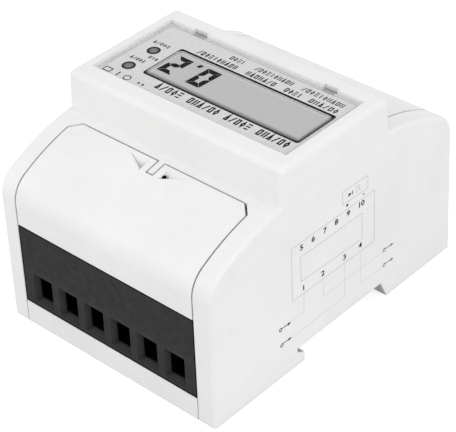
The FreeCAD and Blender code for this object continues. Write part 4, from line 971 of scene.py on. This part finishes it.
LEFT_RINGS = ((-23.75, 16.1), (-23.5, 10.75))
RIGHT_RINGS = ((19.5, 16.5), (19.5, 11.3))
DIODE = ((4.3, 43.9), (5.7, 43.4), (4.3, 42.8))
DIODE_BAR = ((6.0, 44.0), (6.0, 42.8))


def on_side(places):
    """Places on the side wall, in mm along Y and Z, as points of the frame."""
    flat = np.asarray(places, float) * MM
    return np.column_stack([np.full(len(flat), SIDE_X), flat])


def side_circle(y, z, radius, steps=16):
    """Full circle on the side wall, all in mm."""
    return on_side(circle(y, z, 0.0, radius, steps)[:, :2])


def arrow(y, z, reach=3.4, fall=0.15, half=0.5, head=1.3):
    """Dark shaft that starts at a place and runs towards +Y, and a filled triangle at its end."""
    neck = y + reach - head
    shaft = carried(on_side([(y, z), (neck + 0.1, z - fall)]), ARROW_HALF, SIDE)
    tip = plate(on_side([(neck, z - fall - half), (y + reach, z - fall), (neck, z - fall + half)]), SIDE)
    return [shaft, tip]


def signs_on_side(arrows, rings):
    """Arrows, and the small open ring that starts each of them."""
    drawn = [part for place in arrows for part in arrow(*place)]
    return drawn + [carried(side_circle(y, z, START_RING), START_HALF, SIDE, closed=True) for y, z in rings]


frames = [carried(on_side(box), LINE_HALF, SIDE, closed=True)
          for box in (OUTER_FRAME, INNER_FRAME, SMALL_BOX)]
frames += [carried(on_side(path), LINE_HALF, SIDE) for path in MARKS + (PULSE,)]
piece("diagram_frames", frames, pale_ink, "root")
leads = [carried(on_side(path), LEAD_HALF, SIDE) for path in LEADS]
piece("diagram_leads", leads, faint_ink, "root")
dark_signs = signs_on_side(LEFT_ARROWS, LEFT_RINGS) + [plate(side_circle(*DOTS[0]), SIDE)]
dark_signs += [plate(on_side(DIODE), SIDE), carried(on_side(DIODE_BAR), ARROW_HALF, SIDE)]
piece("diagram_arrows", dark_signs, number_ink, "root")
pale_signs = signs_on_side(RIGHT_ARROWS, RIGHT_RINGS) + [plate(side_circle(*DOTS[1]), SIDE)]
piece("diagram_far_arrows", pale_signs, grey_ink, "root")

# %% [markdown]
# Terminal numbers are plain figures. A text curve gives their outlines; it is made a mesh first and only then
# laid on the wall, so the finished piece stays at the origin, unturned.

# %% Terminal numbers
NUMBER_HEIGHT = 1.65
NUMBER_STRETCH = 1.25
NUMBER_BOLD = 0.06
UPPER_NUMBERS = {"5": -14.7, "6": -10.1, "7": -5.4, "8": -0.7, "9": 4.2, "10": 9.5}
LOWER_NUMBERS = {"1": -14.3, "2": -6.5, "3": 2.5, "4": 9.1}
UPPER_Z = 37.6
LOWER_Z = 24.2
CAP_SHARE = 0.73


def figure(text, y, z):
    """One number as points and faces: a flat text curve with a hair of thickness, centred on its place."""
    curve = bpy.data.curves.new("figure", "FONT")
    curve.body = text
    curve.size = NUMBER_HEIGHT * MM / CAP_SHARE
    curve.align_x = "CENTER"
    curve.align_y = "CENTER"
    curve.resolution_u = 3
    curve.extrude = INK / 2
    curve.offset = NUMBER_BOLD * MM
    flat = bpy.data.objects.new("figure", curve)
    mesh = bpy.data.meshes.new_from_object(flat)
    places = np.empty(len(mesh.vertices) * 3)
    mesh.vertices.foreach_get("co", places)
    places = places.reshape(-1, 3)
    faces = [list(face.vertices) for face in mesh.polygons]
    bpy.data.objects.remove(flat)
    bpy.data.curves.remove(curve)
    bpy.data.meshes.remove(mesh)
    points = np.column_stack([SIDE_X + INK / 2 + places[:, 2], y * MM + NUMBER_STRETCH * places[:, 0],
                              z * MM + places[:, 1]])
    return points, faces


numbers = [figure(text, y, z) for row, z in ((UPPER_NUMBERS, UPPER_Z), (LOWER_NUMBERS, LOWER_Z))
           for text, y in row.items()]
piece("terminal_numbers", numbers, number_ink, "root")

# %% [markdown]
# A coil of round wire pushes the rail clip shut. It lies in the clip's window, against a post of the base.
# A helix carries the wire's circle, and its end turns lie close, as a compression spring's do.
# In the meter one end stays on the post and the other moves with the clip; here the coil is one rigid piece
# on the root.

# %% Rail clip spring
SPRING_TURNS = 7
SPRING_WIRE = 0.3 * MM
CLOSE_TURN = 0.62 * MM
TURN_STEPS = 28
WIRE_STEPS = 10
spring_low, spring_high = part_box("rail_clip_spring")


def coil(low, high, turns, wire):
    """Tube on a helix about Y. After t turns the wire stands at the angle 2 pi t, on the coil's radius, and
    has risen by little more than its own thickness in each end turn and evenly between them. Each ring of the
    tube is spanned by the direction out from the axis and the one square to that and to the wire."""
    length = high.y - low.y - 2 * wire
    t = np.linspace(0.0, turns, turns * TURN_STEPS + 1)
    angle = 2 * math.pi * t
    out = np.column_stack([np.cos(angle), np.zeros(len(t)), np.sin(angle)])
    middle = (low + high) / 2
    path = np.array((middle.x, low.y + wire, middle.z)) + ((high.x - low.x) / 2 - wire) * out
    path[:, 1] += np.interp(t, (0, 1, turns - 1, turns), (0.0, CLOSE_TURN, length - CLOSE_TURN, length))
    across = np.cross(out, np.gradient(path, axis=0))
    across /= np.linalg.norm(across, axis=1, keepdims=True)
    turn = (np.arange(WIRE_STEPS) * 2 * math.pi / WIRE_STEPS)[None, :, None]
    rings = path[:, None] + wire * (np.cos(turn) * out[:, None] + np.sin(turn) * across[:, None])
    corner = np.arange(len(t) * WIRE_STEPS).reshape(len(t), WIRE_STEPS)
    beside = np.roll(corner, -1, axis=1)
    quads = np.stack([corner[:-1], beside[:-1], beside[1:], corner[1:]], axis=2).reshape(-1, 4)
    return rings.reshape(-1, 3), quads.tolist() + [list(corner[0, ::-1]), list(corner[-1])]


wound = coil(spring_low, spring_high, SPRING_TURNS, SPRING_WIRE)
spring = piece("clip_spring_coil", [wound], spring_steel, "root")
spring.data.shade_smooth()
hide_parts("rail_clip_spring")
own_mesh(spring)

# %% [markdown]
# The floor is a large pale sheet. Seen directly or in a reflection it also glows, which makes it white, and
# the meter's own shadow still falls on it. The light that it throws on the meter is that of its tone alone.

# %% Floor
FLOOR_SIZE = 6.0
FLOOR_TONE = 0.64
FLOOR_GLOW = 0.70
FLOOR_GAP = 0.2 * MM
half = FLOOR_SIZE / 2
corners = [(-half, -half, 0), (half, -half, 0), (half, half, 0), (-half, half, 0)]
floor_mesh = bpy.data.meshes.new("studio_floor")
floor_mesh.from_pydata(corners, [], [(0, 1, 2, 3)])
floor = bpy.data.objects.new("studio_floor", floor_mesh)
bpy.context.scene.collection.objects.link(floor)
floor.location.z = -FLOOR_GAP
paper = bpy.data.materials.new("studio_paper")
paper.use_nodes = True
tree = paper.node_tree
shader = tree.nodes["Principled BSDF"]
shader.inputs["Base Color"].default_value = (*grey(FLOOR_TONE), 1.0)
shader.inputs["Roughness"].default_value = 0.9
shader.inputs["Specular IOR Level"].default_value = 0.0
glow = node(tree, "ShaderNodeEmission", Strength=FLOOR_GLOW)
total = node(tree, "ShaderNodeAddShader")
tree.links.new(shader.outputs["BSDF"], total.inputs[0])
tree.links.new(glow.outputs["Emission"], total.inputs[1])
seen = node(tree, "ShaderNodeLightPath")
either = combined(tree, "MAXIMUM", seen.outputs["Is Camera Ray"], seen.outputs["Is Glossy Ray"])
any_of = combined(tree, "MAXIMUM", either, seen.outputs["Is Transmission Ray"])
choice = node(tree, "ShaderNodeMixShader", {"Fac": any_of})
tree.links.new(shader.outputs["BSDF"], choice.inputs[1])
tree.links.new(total.outputs["Shader"], choice.inputs[2])
tree.links.new(choice.outputs["Shader"], tree.nodes["Material Output"].inputs["Surface"])
floor_mesh.materials.append(paper)
floor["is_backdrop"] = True
print("floor side in m:", FLOOR_SIZE, "glow:", FLOOR_GLOW)

# %% [markdown]
# The script ends by measuring the box of the dressed model.

# %% Finish
low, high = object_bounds()
